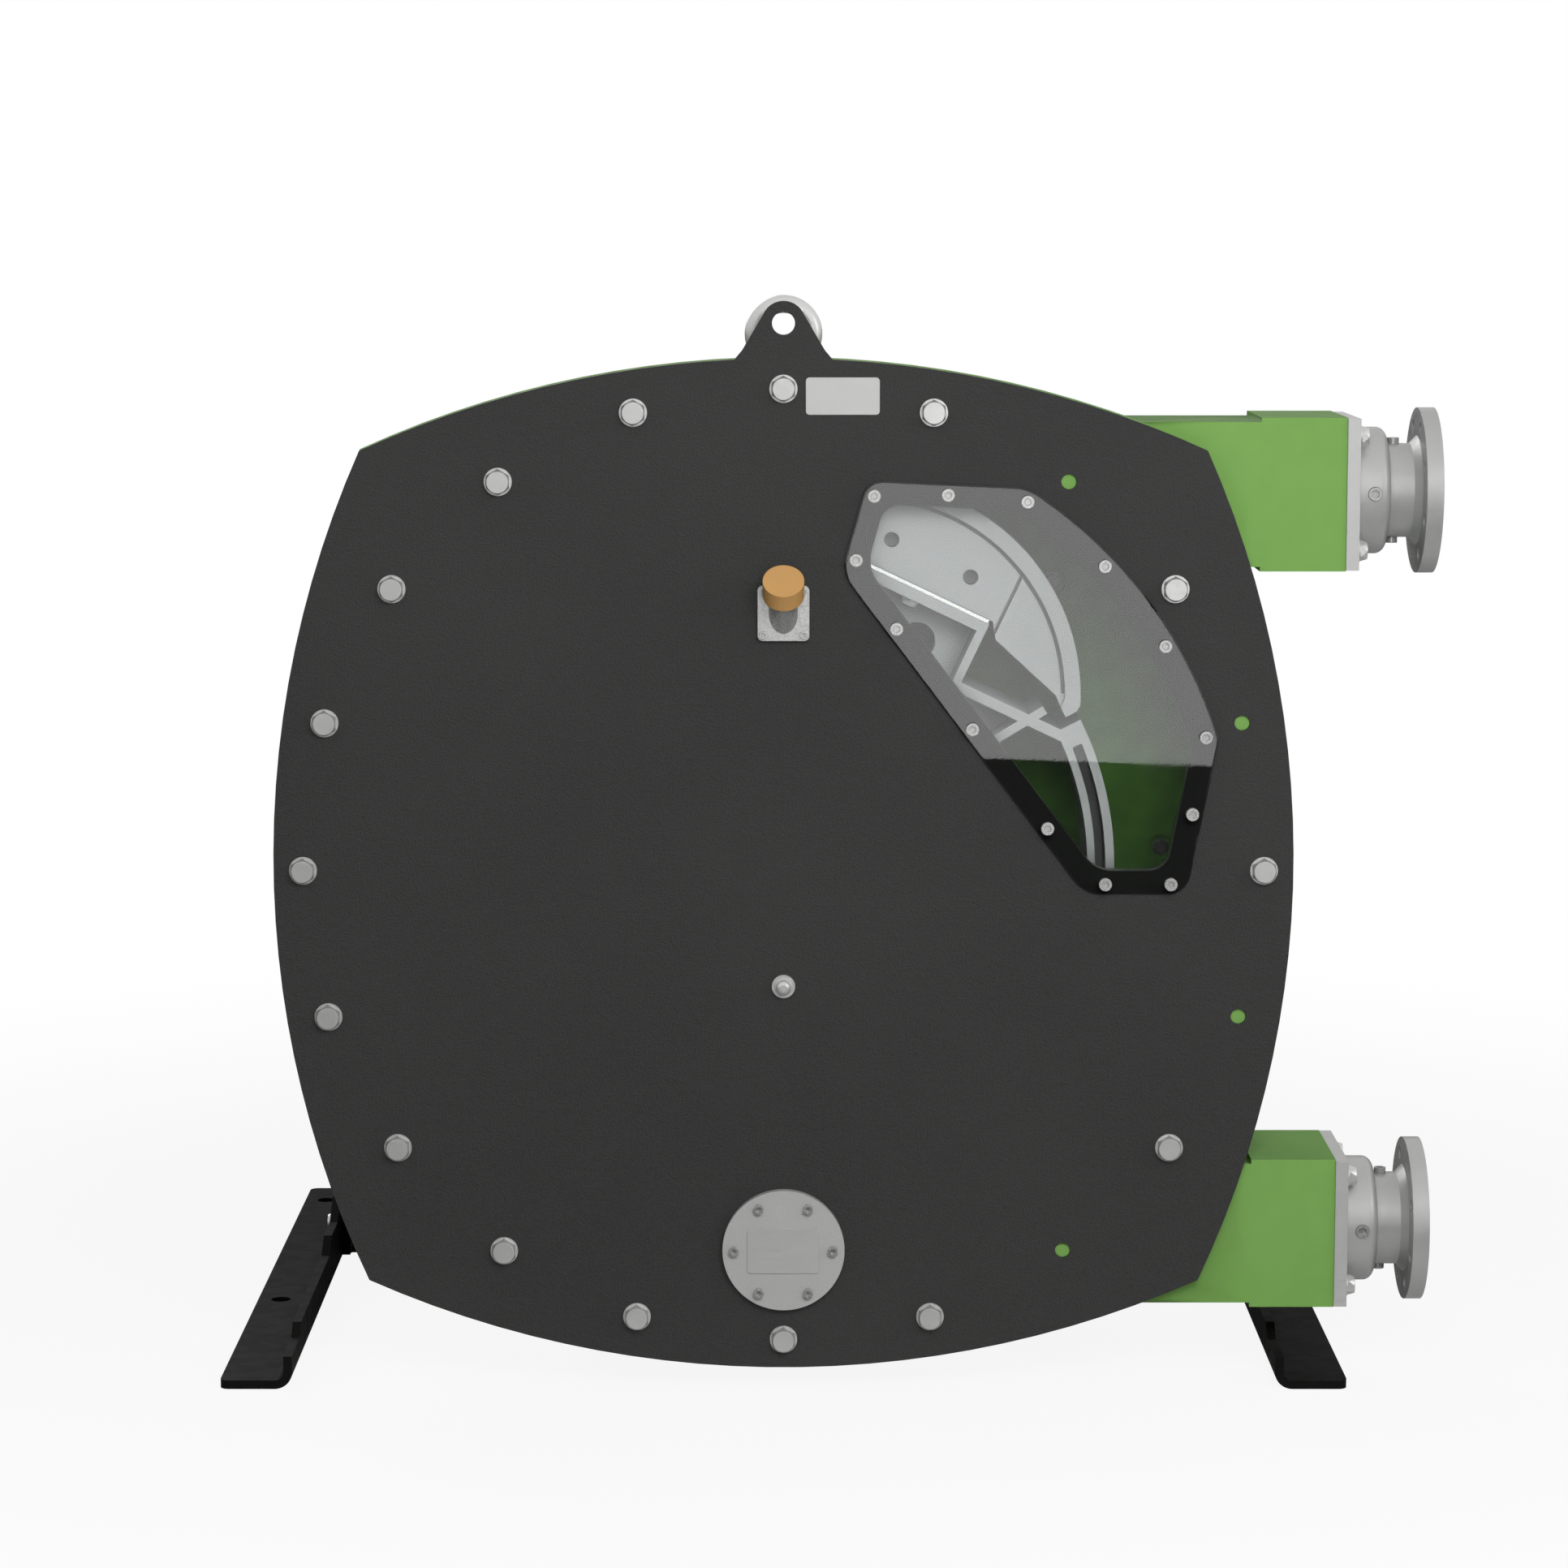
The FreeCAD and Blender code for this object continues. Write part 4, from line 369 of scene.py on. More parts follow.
class Effects:
    """The shader node groups that the finishes share, each made once."""

    def __init__(self) -> None:
        """Make every group."""
        makers = {Grain.SPECKLE: self._speckle, Grain.ENAMEL: self._enamel,
                  Grain.CAST: self._cast, Grain.ROLLED: self._rolled,
                  Grain.LATHE: self._lathe, Grain.WRAPPED: self._wrapped,
                  Grain.MOULDED: self._moulded}
        self.grains: dict[Grain, bpy.types.NodeTree] = {}
        for grain, maker in makers.items():
            group = GrainGroup(grain)
            maker(group, group.tree)
            self.grains[grain] = group.tree.tree
        self.edges = self._edges()
        self.patina = self._patina()
        self.drum = self._drum()

    @staticmethod
    def _speckle(group: GrainGroup, tree: Tree) -> None:
        """Fine crisp grains over a soft orange peel.

        Args:
            group: The group being made.
            tree: Its tree.
        """
        fine = tree.noise(group.vector, group.scale, 3.0, 0.65)
        peel = tree.noise(group.vector, group.finer(0.3), 2.0)
        group.close(tree.ramp(fine, 0.42, 0.64),
                    group.total((tree.ramp(fine, 0.38, 0.66), 1.0), (peel, 0.8)))

    @staticmethod
    def _enamel(group: GrainGroup, tree: Tree) -> None:
        """Shallow orange peel over broad waves.

        Args:
            group: The group being made.
            tree: Its tree.
        """
        peel = tree.noise(group.vector, group.scale, 1.5)
        broad = tree.noise(group.vector, group.finer(0.12), 2.0)
        group.close(tree.ramp(broad, 0.35, 0.65), group.total((peel, 1.0), (broad, 1.5)))

    @staticmethod
    def _cast(group: GrainGroup, tree: Tree) -> None:
        """Sand-cast skin: lumps, grains and small pits.

        Args:
            group: The group being made.
            tree: Its tree.
        """
        lumps = tree.noise(group.vector, group.finer(0.2), 3.0)
        grains = tree.noise(group.vector, group.scale, 4.0, 0.7)
        cells = tree.add("ShaderNodeTexVoronoi", feature="F1")
        tree.fill(cells, Vector=group.vector, Scale=group.finer(0.8))
        pits = tree.ramp(cells.outputs["Distance"], 0.02, 0.22)
        group.close(tree.ramp(grains, 0.36, 0.66),
                    group.total((lumps, 1.0), (grains, 0.5), (pits, 0.35)))

    @staticmethod
    def _rolled(group: GrainGroup, tree: Tree) -> None:
        """Long fine strokes along the axis.

        Args:
            group: The group being made.
            tree: Its tree.
        """
        along = tree.vector("DOT_PRODUCT", group.vector, group.axis).outputs["Value"]
        back = tree.fill(tree.vector("SCALE", group.axis),
                         Scale=tree.math("MULTIPLY", along, -0.97))
        place = tree.vector("ADD", group.vector, back.outputs[0]).outputs[0]
        lines = tree.noise(place, group.scale, 3.0, 0.6)
        group.close(tree.ramp(lines, 0.3, 0.7), lines)

    @staticmethod
    def _lathe(group: GrainGroup, tree: Tree) -> None:
        """Turning lines round an axis through a centre.

        Args:
            group: The group being made.
            tree: Its tree.
        """
        place = tree.vector("SUBTRACT", group.vector, group.centre).outputs[0]
        along = tree.vector("DOT_PRODUCT", place, group.axis).outputs["Value"]
        across = tree.vector("CROSS_PRODUCT", place, group.axis).outputs[0]
        lines = tree.add("ShaderNodeCombineXYZ")
        tree.fill(lines, X=along, Y=tree.vector("LENGTH", across).outputs["Value"])
        turned = tree.noise(lines.outputs[0], group.scale, 3.0, 0.7)
        spots = tree.noise(place, group.finer(0.06), 3.0)
        group.close(group.total((tree.ramp(turned, 0.3, 0.7), 0.6),
                                (tree.ramp(spots, 0.35, 0.65), 0.4)), turned)

    @staticmethod
    def _wrapped(group: GrainGroup, tree: Tree) -> None:
        """Cloth-tape ridges along the hose, with a faint weave.

        Args:
            group: The group being made.
            tree: Its tree.
        """
        run = tree.add("ShaderNodeUVMap", uv_map="run")
        part = tree.fill(tree.add("ShaderNodeSeparateXYZ"), Vector=run.outputs[0])
        slant = tree.math("ADD", tree.math("MULTIPLY", part.outputs["X"], 22.0),
                          part.outputs["Y"])
        lap = tree.ramp(tree.math("FRACT", slant), 0.0, 0.14)
        weave = tree.noise(group.vector, group.scale, 3.0, 0.7)
        group.close(tree.ramp(weave, 0.35, 0.65), group.total((lap, 1.0), (weave, 0.25)))

    @staticmethod
    def _moulded(group: GrainGroup, tree: Tree) -> None:
        """Fine even skin.

        Args:
            group: The group being made.
            tree: Its tree.
        """
        fine = tree.noise(group.vector, group.scale, 4.0, 0.75)
        group.close(tree.ramp(fine, 0.35, 0.65), fine)

    @staticmethod
    def _edges() -> bpy.types.NodeTree:
        """Rounded normal and worn mask of sharp edges.

        Returns:
            The group.
        """
        tree, source, target = new_group(
            "edge_wear", "ShaderNodeTree",
            {"Vector": "vector", "Radius": "value", "Amount": "value"},
            {"Mask": "value", "Normal": "vector"})
        bevel = tree.add("ShaderNodeBevel", samples=4)
        tree.fill(bevel, Radius=source.outputs["Radius"])
        plain = tree.add("ShaderNodeNewGeometry").outputs["Normal"]
        same = tree.vector("DOT_PRODUCT", bevel.outputs[0], plain).outputs["Value"]
        turn = tree.ramp(tree.math("SUBTRACT", 1.0, same), 0.03, 0.2)
        chips = tree.ramp(tree.noise(source.outputs["Vector"], 90.0, 4.0, 0.7), 0.42, 0.62)
        worn = tree.math("MULTIPLY", tree.math("MULTIPLY", turn, chips),
                         source.outputs["Amount"], clamp=True)
        tree.feed(target.inputs["Mask"], worn)
        tree.feed(target.inputs["Normal"], bevel.outputs[0])
        return tree.tree

    @staticmethod
    def _drum() -> bpy.types.NodeTree:
        """Mask of the casing's inside, round the rotor's axis and ahead of the back wall, where
        its shade is painted.

        Returns:
            The group.
        """
        tree, source, target = new_group("drum_inside", "ShaderNodeTree",
                                         {"Vector": "vector", "Radius": "value"},
                                         {"Mask": "value"})
        part = tree.add("ShaderNodeSeparateXYZ")
        centred = tree.vector("SUBTRACT", source.outputs["Vector"], (0.0, 0.0, AXIS_HEIGHT))
        flat = tree.vector("MULTIPLY", centred.outputs[0], (1.0, 0.0, 1.0))
        reach = tree.vector("LENGTH", flat.outputs[0]).outputs["Value"]
        near = tree.math("LESS_THAN", reach, source.outputs["Radius"])
        tree.fill(part, Vector=source.outputs["Vector"])
        ahead = tree.math("LESS_THAN", part.outputs["Y"], DRUM_BACK)
        tree.feed(target.inputs["Mask"], tree.math("MULTIPLY", near, ahead))
        return tree.tree

    @staticmethod
    def _patina() -> bpy.types.NodeTree:
        """Broad uneven tone, and dust that gathers on level faces.

        Returns:
            The group.
        """
        tree, source, target = new_group(
            "patina", "ShaderNodeTree",
            {"Vector": "vector", "Scale": "value", "Dust": "value"},
            {"Tone": "value", "Dust": "value"})
        vector, scale = source.outputs["Vector"], source.outputs["Scale"]
        broad = tree.noise(vector, scale, 4.0, 0.6)
        tree.feed(target.inputs["Tone"], tree.ramp(broad, 0.3, 0.7))
        part = tree.add("ShaderNodeSeparateXYZ")
        tree.fill(part, Vector=tree.add("ShaderNodeNewGeometry").outputs["True Normal"])
        level = tree.ramp(part.outputs["Z"], 0.55, 0.95)
        drift = tree.ramp(tree.noise(vector, tree.math("MULTIPLY", scale, 6.0), 5.0, 0.65),
                          0.35, 0.75, 0.25, 1.0)
        dust = tree.math("MULTIPLY", tree.math("MULTIPLY", level, drift),
                         source.outputs["Dust"], clamp=True)
        tree.feed(target.inputs["Dust"], dust)
        return tree.tree


# ------------------------------------------------------------------- finishes

DUST: Colour = (0.30, 0.29, 0.27)
# painted shade: the colour that ambient occlusion lays into creases and recesses in place of their
# shadow
CREASE_SHADE_COLOUR: Colour = (0.045, 0.046, 0.044)
# painted shade: the casing's inside round the rotor is painted a dark green as if in shadow, with
# lighter specks from the grain
DRUM_SHADE_GREEN: Colour = (0.022, 0.052, 0.0095)
DRUM_SHADE_SPECK: Colour = tuple(1.7 * c for c in DRUM_SHADE_GREEN)
DRUM_SHINE = 0.04         # specular level inside the drum, turned down with its painted shade
CREASE_SHADE_REACH = 0.04            # how far the painted crease shade reaches from a closed corner
CREASE_SHADE_SPAN = (0.35, 0.85)
DUST_DULLS = 0.3         # roughness that full dust adds
BARE_METAL = 0.8         # metallic share of a fully worn edge


@dataclass(frozen=True)
class Finish:
    """One surface finish, from which a material is made.

    Colours are linear, lengths are in metres and scales are per metre.
    """

    name: str
    slot: str
    colour: Colour
    tone: Colour
    bare: Colour
    roughness: float
    grain: Grain
    scale: float
    depth: float
    metallic: float = 0.0
    spread: float = 0.08
    speck: float = 0.2
    wear: float = 0.3
    round_edge: float = 0.0008
    patch: float = 2.5
    dust: float = 0.15
    specular: float = 0.5
    ior: float = 1.5
    axis: Triple = (0.0, 1.0, 0.0)
    centre: Triple = (0.0, 0.0, 0.0)
    bare_metal: bool = True
    # strength of the painted crease shade from ambient occlusion; 0 for none
    crease_shade: float = 0.0
    # radius within which the casing's inside is painted dark as shade; 0 for none
    drum: float = 0.0

    def make(self, effects: Effects) -> bpy.types.Material:
        """Build the material.

        Args:
            effects: The shared groups.

        Returns:
            The material.
        """
        material, tree = empty_material(self.name)
        place = tree.add("ShaderNodeTexCoord").outputs["Object"]
        grain = tree.use(effects.grains[self.grain], Vector=place, Scale=self.scale,
                         Axis=self.axis, Centre=self.centre)
        patina = tree.use(effects.patina, Vector=place, Scale=self.patch, Dust=self.dust)
        edges = tree.use(effects.edges, Vector=place, Radius=self.round_edge, Amount=self.wear)
        base = tree.mix(patina.outputs["Tone"], self.colour, self.tone)
        light = tuple(min(1.0, c * 1.35 + 0.01) for c in self.colour)
        base = tree.mix(tree.math("MULTIPLY", grain.outputs["Mask"], self.speck), base, light)
        base = tree.mix(edges.outputs["Mask"], base, self.bare)
        base = tree.mix(patina.outputs["Dust"], base, DUST)
        shine: object = self.specular
        # painted shade: an ambient occlusion mask darkens creases and recesses towards the shade
        # colour
        if self.crease_shade:
            closed = tree.add("ShaderNodeAmbientOcclusion", samples=6)
            tree.fill(closed, Distance=CREASE_SHADE_REACH)
            base = tree.mix(tree.ramp(closed.outputs["AO"], *CREASE_SHADE_SPAN, self.crease_shade, 0.0),
                            base, CREASE_SHADE_COLOUR)
        # painted shade: the casing's inside is darkened to a shadowed green, and its specular
        # level is lowered
        if self.drum:
            inside = tree.use(effects.drum, Vector=place, Radius=self.drum)
            drum_shade = tree.mix(tree.math("MULTIPLY", grain.outputs["Mask"], 0.5), DRUM_SHADE_GREEN,
                           DRUM_SHADE_SPECK)
            base = tree.mix(inside.outputs["Mask"], base, drum_shade)
            shine = tree.ramp(inside.outputs["Mask"], 0.0, 1.0, self.specular, DRUM_SHINE)
        shader = tree.add("ShaderNodeBsdfPrincipled")
        rough = tree.ramp(grain.outputs["Mask"], 0.0, 1.0, self.roughness - self.spread,
                          self.roughness + self.spread)
        dulled = tree.math("MULTIPLY", patina.outputs["Dust"], DUST_DULLS)
        rough = tree.math("ADD", rough, dulled, clamp=True)
        bump = tree.add("ShaderNodeBump")
        tree.fill(bump, Strength=1.0, Distance=self.depth, Height=grain.outputs["Height"],
                  Normal=edges.outputs["Normal"])
        tree.fill(shader, Base_Color=base, Roughness=rough, Normal=bump.outputs[0])
        if self.metallic < 1.0 and self.bare_metal and self.wear > 0.0:
            shown = tree.math("MULTIPLY", edges.outputs["Mask"], BARE_METAL)
            tree.fill(shader, Metallic=tree.math("MAXIMUM", shown, self.metallic))
        else:
            tree.fill(shader, Metallic=self.metallic)
        tree.fill(shader, Specular_IOR_Level=shine, IOR=self.ior)
        tree.end(shader.outputs[0])
        return material


@dataclass(frozen=True)
class ClearPane:
    """Polished clear sheet with faint scuffs."""

    name: str = "clear_pane"
    slot: str = "clear_pane"
    tint: Colour = (0.93, 0.96, 0.945)

    def make(self, effects: Effects) -> bpy.types.Material:
        """Build the material.

        Args:
            effects: The shared groups.

        Returns:
            The material.
        """
        material, tree = empty_material(self.name)
        place = tree.add("ShaderNodeTexCoord").outputs["Object"]
        scuffs = tree.use(effects.grains[Grain.ROLLED], Vector=place, Scale=220.0,
                          Axis=(0.8, 0.0, 0.6))
        smear = tree.noise(place, 9.0, 3.0)
        shader = tree.add("ShaderNodeBsdfPrincipled")
        colour = tree.mix(tree.ramp(smear, 0.3, 0.7), self.tint, (0.95, 0.97, 0.96))
        bump = tree.add("ShaderNodeBump")
        tree.fill(bump, Strength=0.15, Distance=0.00002, Height=scuffs.outputs["Height"])
        tree.fill(shader, Base_Color=colour, Transmission_Weight=1.0, IOR=1.49, Metallic=0.0,
                  Roughness=tree.ramp(smear, 0.35, 0.7, 0.0, 0.02), Normal=bump.outputs[0])
        clear = tree.add("ShaderNodeBsdfTransparent")
        tree.fill(clear, Color=(0.9, 0.93, 0.92, 1.0))
        mixed = tree.add("ShaderNodeMixShader")
        tree.feed(mixed.inputs[0], tree.add("ShaderNodeLightPath").outputs["Is Shadow Ray"])
        tree.feed(mixed.inputs[1], shader.outputs[0])
        tree.feed(mixed.inputs[2], clear.outputs[0])
        tree.end(mixed.outputs[0])
        return material


COVER_PAINT = Finish("cover_paint", "cover_paint", (0.023, 0.023, 0.0225), (0.027, 0.027, 0.0263),
                     (0.12, 0.12, 0.117), 0.52, Grain.SPECKLE, 380.0, 0.00032, speck=0.4,
                     wear=0.3, dust=0.06, specular=0.4, bare_metal=False)
CASING_PAINT = Finish("casing_paint", "casing_paint", (0.162, 0.326, 0.080),
                      (0.175, 0.343, 0.089), (0.36, 0.50, 0.27), 0.46, Grain.ENAMEL, 260.0,
                      0.00012, spread=0.03, speck=0.06, wear=0.3, dust=0.03, specular=0.35,
                      ior=1.14, bare_metal=False, drum=0.5755)
FRAME_PAINT = Finish("frame_paint", "frame_paint", (0.0065, 0.0065, 0.0063),
                     (0.008, 0.008, 0.0077), (0.09, 0.09, 0.088), 0.55, Grain.ENAMEL, 300.0,
                     0.00012, spread=0.03, speck=0.08, wear=0.3, dust=0.0, specular=0.2, ior=1.15,
                     round_edge=0.0015)
MOTOR_PAINT = Finish("motor_paint", "motor_paint", (0.15, 0.16, 0.17), (0.17, 0.18, 0.19),
                     (0.32, 0.32, 0.32), 0.45, Grain.ENAMEL, 300.0, 0.00014, speck=0.1,
                     wear=0.4, dust=0.25, bare_metal=False)
PALE_PAINT = Finish("pale_paint", "pale_paint", (0.36, 0.36, 0.355), (0.385, 0.385, 0.38),
                    (0.5, 0.5, 0.49), 0.5, Grain.SPECKLE, 500.0, 0.00008, speck=0.12, wear=0.3,
                    bare_metal=False)
PLATE_ALLOY = Finish("plate_alloy", "plate_alloy", (0.55, 0.55, 0.545), (0.58, 0.58, 0.575),
                     (0.68, 0.68, 0.67), 0.45, Grain.ROLLED, 900.0, 0.00003, metallic=0.55,
                     speck=0.12, wear=0.3, axis=(1.0, 0.0, 0.0))
BLACK_RUBBER = Finish("black_rubber", "black_rubber", (0.011, 0.011, 0.0105),
                      (0.014, 0.014, 0.013), (0.03, 0.03, 0.03), 0.6, Grain.MOULDED, 700.0,
                      0.00006, speck=0.15, wear=0.15, bare_metal=False)
HOSE_RUBBER = Finish("hose_rubber", "hose_rubber", (0.012, 0.012, 0.012),
                     (0.018, 0.018, 0.017), (0.03, 0.03, 0.03), 0.58, Grain.WRAPPED, 900.0,
                     0.0006, speck=0.2, wear=0.0, bare_metal=False)
ZINC_STEEL = Finish("zinc_steel", "zinc_steel", (0.66, 0.66, 0.65), (0.58, 0.58, 0.575),
                    (0.7, 0.7, 0.69), 0.36, Grain.CAST, 700.0, 0.00005, metallic=0.6,
                    speck=0.1, wear=0.3, round_edge=0.001)
STAINLESS = Finish("stainless", "stainless", (0.52, 0.52, 0.51), (0.46, 0.46, 0.455),
                   (0.68, 0.68, 0.67), 0.32, Grain.CAST, 600.0, 0.00004, metallic=0.7,
                   speck=0.1, wear=0.4, round_edge=0.001)
DARK_BOLT = Finish("dark_bolt", "dark_bolt", (0.07, 0.075, 0.07), (0.05, 0.055, 0.05),
                   (0.3, 0.3, 0.3), 0.4, Grain.CAST, 600.0, 0.00005, metallic=0.9, wear=0.5)
BRASS_CAP = Finish("brass_cap", "brass_cap", (0.60, 0.335, 0.115), (0.55, 0.30, 0.10),
                   (0.74, 0.48, 0.22), 0.45, Grain.LATHE, 900.0, 0.00005, metallic=0.2,
                   speck=0.12, wear=0.4)
ROTOR_ALLOY = Finish("rotor_alloy", "rotor_alloy", (0.20, 0.20, 0.201), (0.18, 0.18, 0.181),
                     (0.32, 0.32, 0.32), 0.5, Grain.CAST, 380.0, 0.00018, metallic=0.08,
                     speck=0.12, wear=0.35, specular=0.2, round_edge=0.0018, dust=0.0, crease_shade=0.85)
FAN_PLASTIC = Finish("fan_plastic", "fan_plastic", (0.03, 0.03, 0.03), (0.036, 0.036, 0.036),
                     (0.08, 0.08, 0.08), 0.5, Grain.MOULDED, 500.0, 0.00006, bare_metal=False)
WELD_METAL = Finish("weld_black", "frame_paint", (0.015, 0.015, 0.0145), (0.02, 0.02, 0.019),
                    (0.12, 0.12, 0.12), 0.42, Grain.CAST, 500.0, 0.0002, speck=0.2, wear=0.5)


class Workshop:
    """Makes each finish's material once and puts materials on nodes and pieces."""

    def __init__(self) -> None:
        """Make the shared effects."""
        self.effects = Effects()
        self.made: dict[str, bpy.types.Material] = {}

    def material(self, finish: Finish | ClearPane) -> bpy.types.Material:
        """Material of a finish.

        Args:
            finish: The finish.

        Returns:
            Its material, made at the first call.
        """
        if finish.name not in self.made:
            self.made[finish.name] = finish.make(self.effects)
        return self.made[finish.name]

    def paint(self, obj: bpy.types.Object, finish: Finish | ClearPane) -> None:
        """Give every slot of an object one finish.

        Args:
            obj: The object.
            finish: Its finish.
        """
        if not obj.material_slots:
            obj.data.materials.append(None)
        for slot in obj.material_slots:
            slot.material = self.material(finish)


class Part:
    """What every sub-assembly can do."""

    def __init__(self, nodes: dict[str, bpy.types.Object], shop: Workshop,
                 growth: Growth) -> None:
        """Keep the frame's nodes and what makes materials and repeated pieces.

        Args:
            nodes: CAD nodes by name.
            shop: The workshop.
            growth: The Geometry Nodes trees.
        """
        self.nodes = nodes
        self.shop = shop
        self.growth = growth

    def build(self) -> None:
        """Add the pieces that the CAD nodes lack."""

    def paint(self, finish: Finish | ClearPane, *names: str) -> None:
        """Give CAD nodes a finish.

        Args:
            finish: The finish.
            names: The nodes.
        """
        for name in names:
            self.shop.paint(self.nodes[name], finish)
        LOG.info("%s: %s", finish.name, ", ".join(names))

    def finish_piece(self, obj: bpy.types.Object, finish: Finish, body: str) -> None:
        """Paint a new piece and let it ride.

        Args:
            obj: The piece.
            finish: Its finish.
            body: The body that it rides on.
        """
        self.shop.paint(obj, finish)
        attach(obj, body)
        LOG.info("piece %s: %d faces", obj.name, len(obj.data.polygons))


def mesh_object(name: str, points: list[Triple], faces: list[tuple[int, ...]]) -> bpy.types.Object:
    """Object from points and faces.

    Args:
        name: The object's name.
        points: Vertices.
        faces: Vertex numbers of each face.

    Returns:
        The linked object.
    """
    mesh = bpy.data.meshes.new(name)
    mesh.from_pydata(points, [], faces)
    mesh.validate()
    return link(name, mesh)


# ---------------------------------------------------------- repeated pieces


class Growth:
    """Geometry Nodes trees for what repeats, each made once."""

    BEAD_LOW = (0.85, 0.85, 0.65)      # a weld bead's least and greatest scale
    BEAD_HIGH = (1.15, 1.15, 0.95)
    WASHER = (24, 1.35, 0.3)           # sides, then width and depth for a head's 1
    HEXAGON = (6, 1.0, 2.0)
    LOOSE = 1.047                      # a head's greatest turn, in radians

    def __init__(self, shop: Workshop) -> None:
        """Make the trees.

        Args:
            shop: Where the materials come from.
        """
        self.shop = shop
        self.weld = self._weld()
        self.screws = self._screws()

    @staticmethod
    def _close(tree: Tree, source: bpy.types.Node, target: bpy.types.Node,
               instances: bpy.types.NodeSocket) -> None:
        """End a tree with real geometry and its material.

        Args:
            tree: The tree.
            source: Its input node.
            target: Its output node.
            instances: What has been placed.
        """
        real = tree.fill(tree.add("GeometryNodeRealizeInstances"), Geometry=instances)
        skin = tree.fill(tree.add("GeometryNodeSetMaterial"), Geometry=real.outputs[0],
                         Material=source.outputs["Skin"])
        tree.feed(target.inputs["Geometry"], skin.outputs[0])

    def _weld(self) -> bpy.types.NodeTree:
        """Overlapping beads along the edges of a mesh.

        Returns:
            The tree.
        """
        tree, source, target = new_group(
            "weld_bead", "GeometryNodeTree",
            {"Geometry": "shape", "Step": "value", "Bead": "value", "Seed": "whole",
             "Skin": "skin"}, {"Geometry": "shape"})
        path = tree.fill(tree.add("GeometryNodeMeshToCurve"), Mesh=source.outputs["Geometry"])
        spots = tree.fill(tree.add("GeometryNodeResampleCurve", mode="LENGTH"),
                          Curve=path.outputs[0], Length=source.outputs["Step"])
        bead = tree.fill(tree.add("GeometryNodeMeshUVSphere"), Segments=8, Rings=6,
                         Radius=source.outputs["Bead"])
        along = tree.add("FunctionNodeAlignRotationToVector", axis="Z")
        tree.fill(along, Vector=tree.add("GeometryNodeInputTangent").outputs[0])
        size = tree.add("FunctionNodeRandomValue", data_type="FLOAT_VECTOR")
        tree.feed(size.inputs[0], self.BEAD_LOW)
        tree.feed(size.inputs[1], self.BEAD_HIGH)
        tree.feed(size.inputs["Seed"], source.outputs["Seed"])
        placed = tree.fill(tree.add("GeometryNodeInstanceOnPoints"), Points=spots.outputs[0],
                           Instance=bead.outputs[0], Rotation=along.outputs[0],
                           Scale=size.outputs[0])
        self._close(tree, source, target, placed.outputs[0])
        return tree.tree

    def _screws(self) -> bpy.types.NodeTree:
        """Hexagon screws with washers on the points of a mesh.

        They point along Axis plus their offset from Centre times Spread.

        Returns:
            The tree.
        """
        tree, source, target = new_group(
            "hex_screws", "GeometryNodeTree",
            {"Geometry": "shape", "Head": "value", "Rise": "value", "Axis": "vector",
             "Centre": "vector", "Spread": "vector", "Seed": "whole", "Skin": "skin"},
            {"Geometry": "shape"})
        head, rise = source.outputs["Head"], source.outputs["Rise"]
        parts = tree.add("GeometryNodeJoinGeometry")
        for sides, width, depth in (self.WASHER, self.HEXAGON):
            block = tree.fill(tree.add("GeometryNodeMeshCylinder"), Vertices=sides,
                              Radius=tree.math("MULTIPLY", head, width),
                              Depth=tree.math("MULTIPLY", rise, depth))
            tree.feed(parts.inputs[0], block.outputs[0])
        place = tree.add("GeometryNodeInputPosition").outputs[0]
        offset = tree.vector("SUBTRACT", place, source.outputs["Centre"]).outputs[0]
        away = tree.vector("MULTIPLY", offset, source.outputs["Spread"]).outputs[0]
        way = tree.vector("ADD", away, source.outputs["Axis"]).outputs[0]
        turned = tree.fill(tree.add("FunctionNodeAlignRotationToVector", axis="Z"), Vector=way)
        placed = tree.fill(tree.add("GeometryNodeInstanceOnPoints"),
                           Points=source.outputs["Geometry"], Instance=parts.outputs[0],
                           Rotation=turned.outputs[0])
        angle = tree.add("FunctionNodeRandomValue", data_type="FLOAT")
        for index, value in ((2, 0.0), (3, self.LOOSE)):
            tree.feed(angle.inputs[index], value)
        tree.feed(angle.inputs["Seed"], source.outputs["Seed"])
        spin = tree.fill(tree.add("ShaderNodeCombineXYZ"), Z=angle.outputs[1])
        loose = tree.fill(tree.add("GeometryNodeRotateInstances"), Instances=placed.outputs[0],
                          Rotation=spin.outputs[0])
        self._close(tree, source, target, loose.outputs[0])
        return tree.tree

    def grow(self, obj: bpy.types.Object, group: bpy.types.NodeTree, finish: Finish,
             **inputs: object) -> bpy.types.Object:
        """Run a tree on an object and keep the result as its plain mesh.

        Args:
            obj: Object with the points or edges.
            group: The tree.
            finish: Finish of what is made.
            inputs: Values of the tree's named inputs.

        Returns:
            The same object with its new mesh.
        """
        names = {item.name: item.identifier for item in group.interface.items_tree
                 if item.in_out == "INPUT"}
        modifier = obj.modifiers.new(group.name, "NODES")
        modifier.node_group = group
        for label, value in {**inputs, "Skin": self.shop.material(finish)}.items():
            modifier[names[label]] = value
        bpy.context.view_layer.update()
        graph = bpy.context.evaluated_depsgraph_get()
        mesh = bpy.data.meshes.new_from_object(obj.evaluated_get(graph), depsgraph=graph)
        obj.modifiers.remove(modifier)
        obj.data = mesh
        return obj


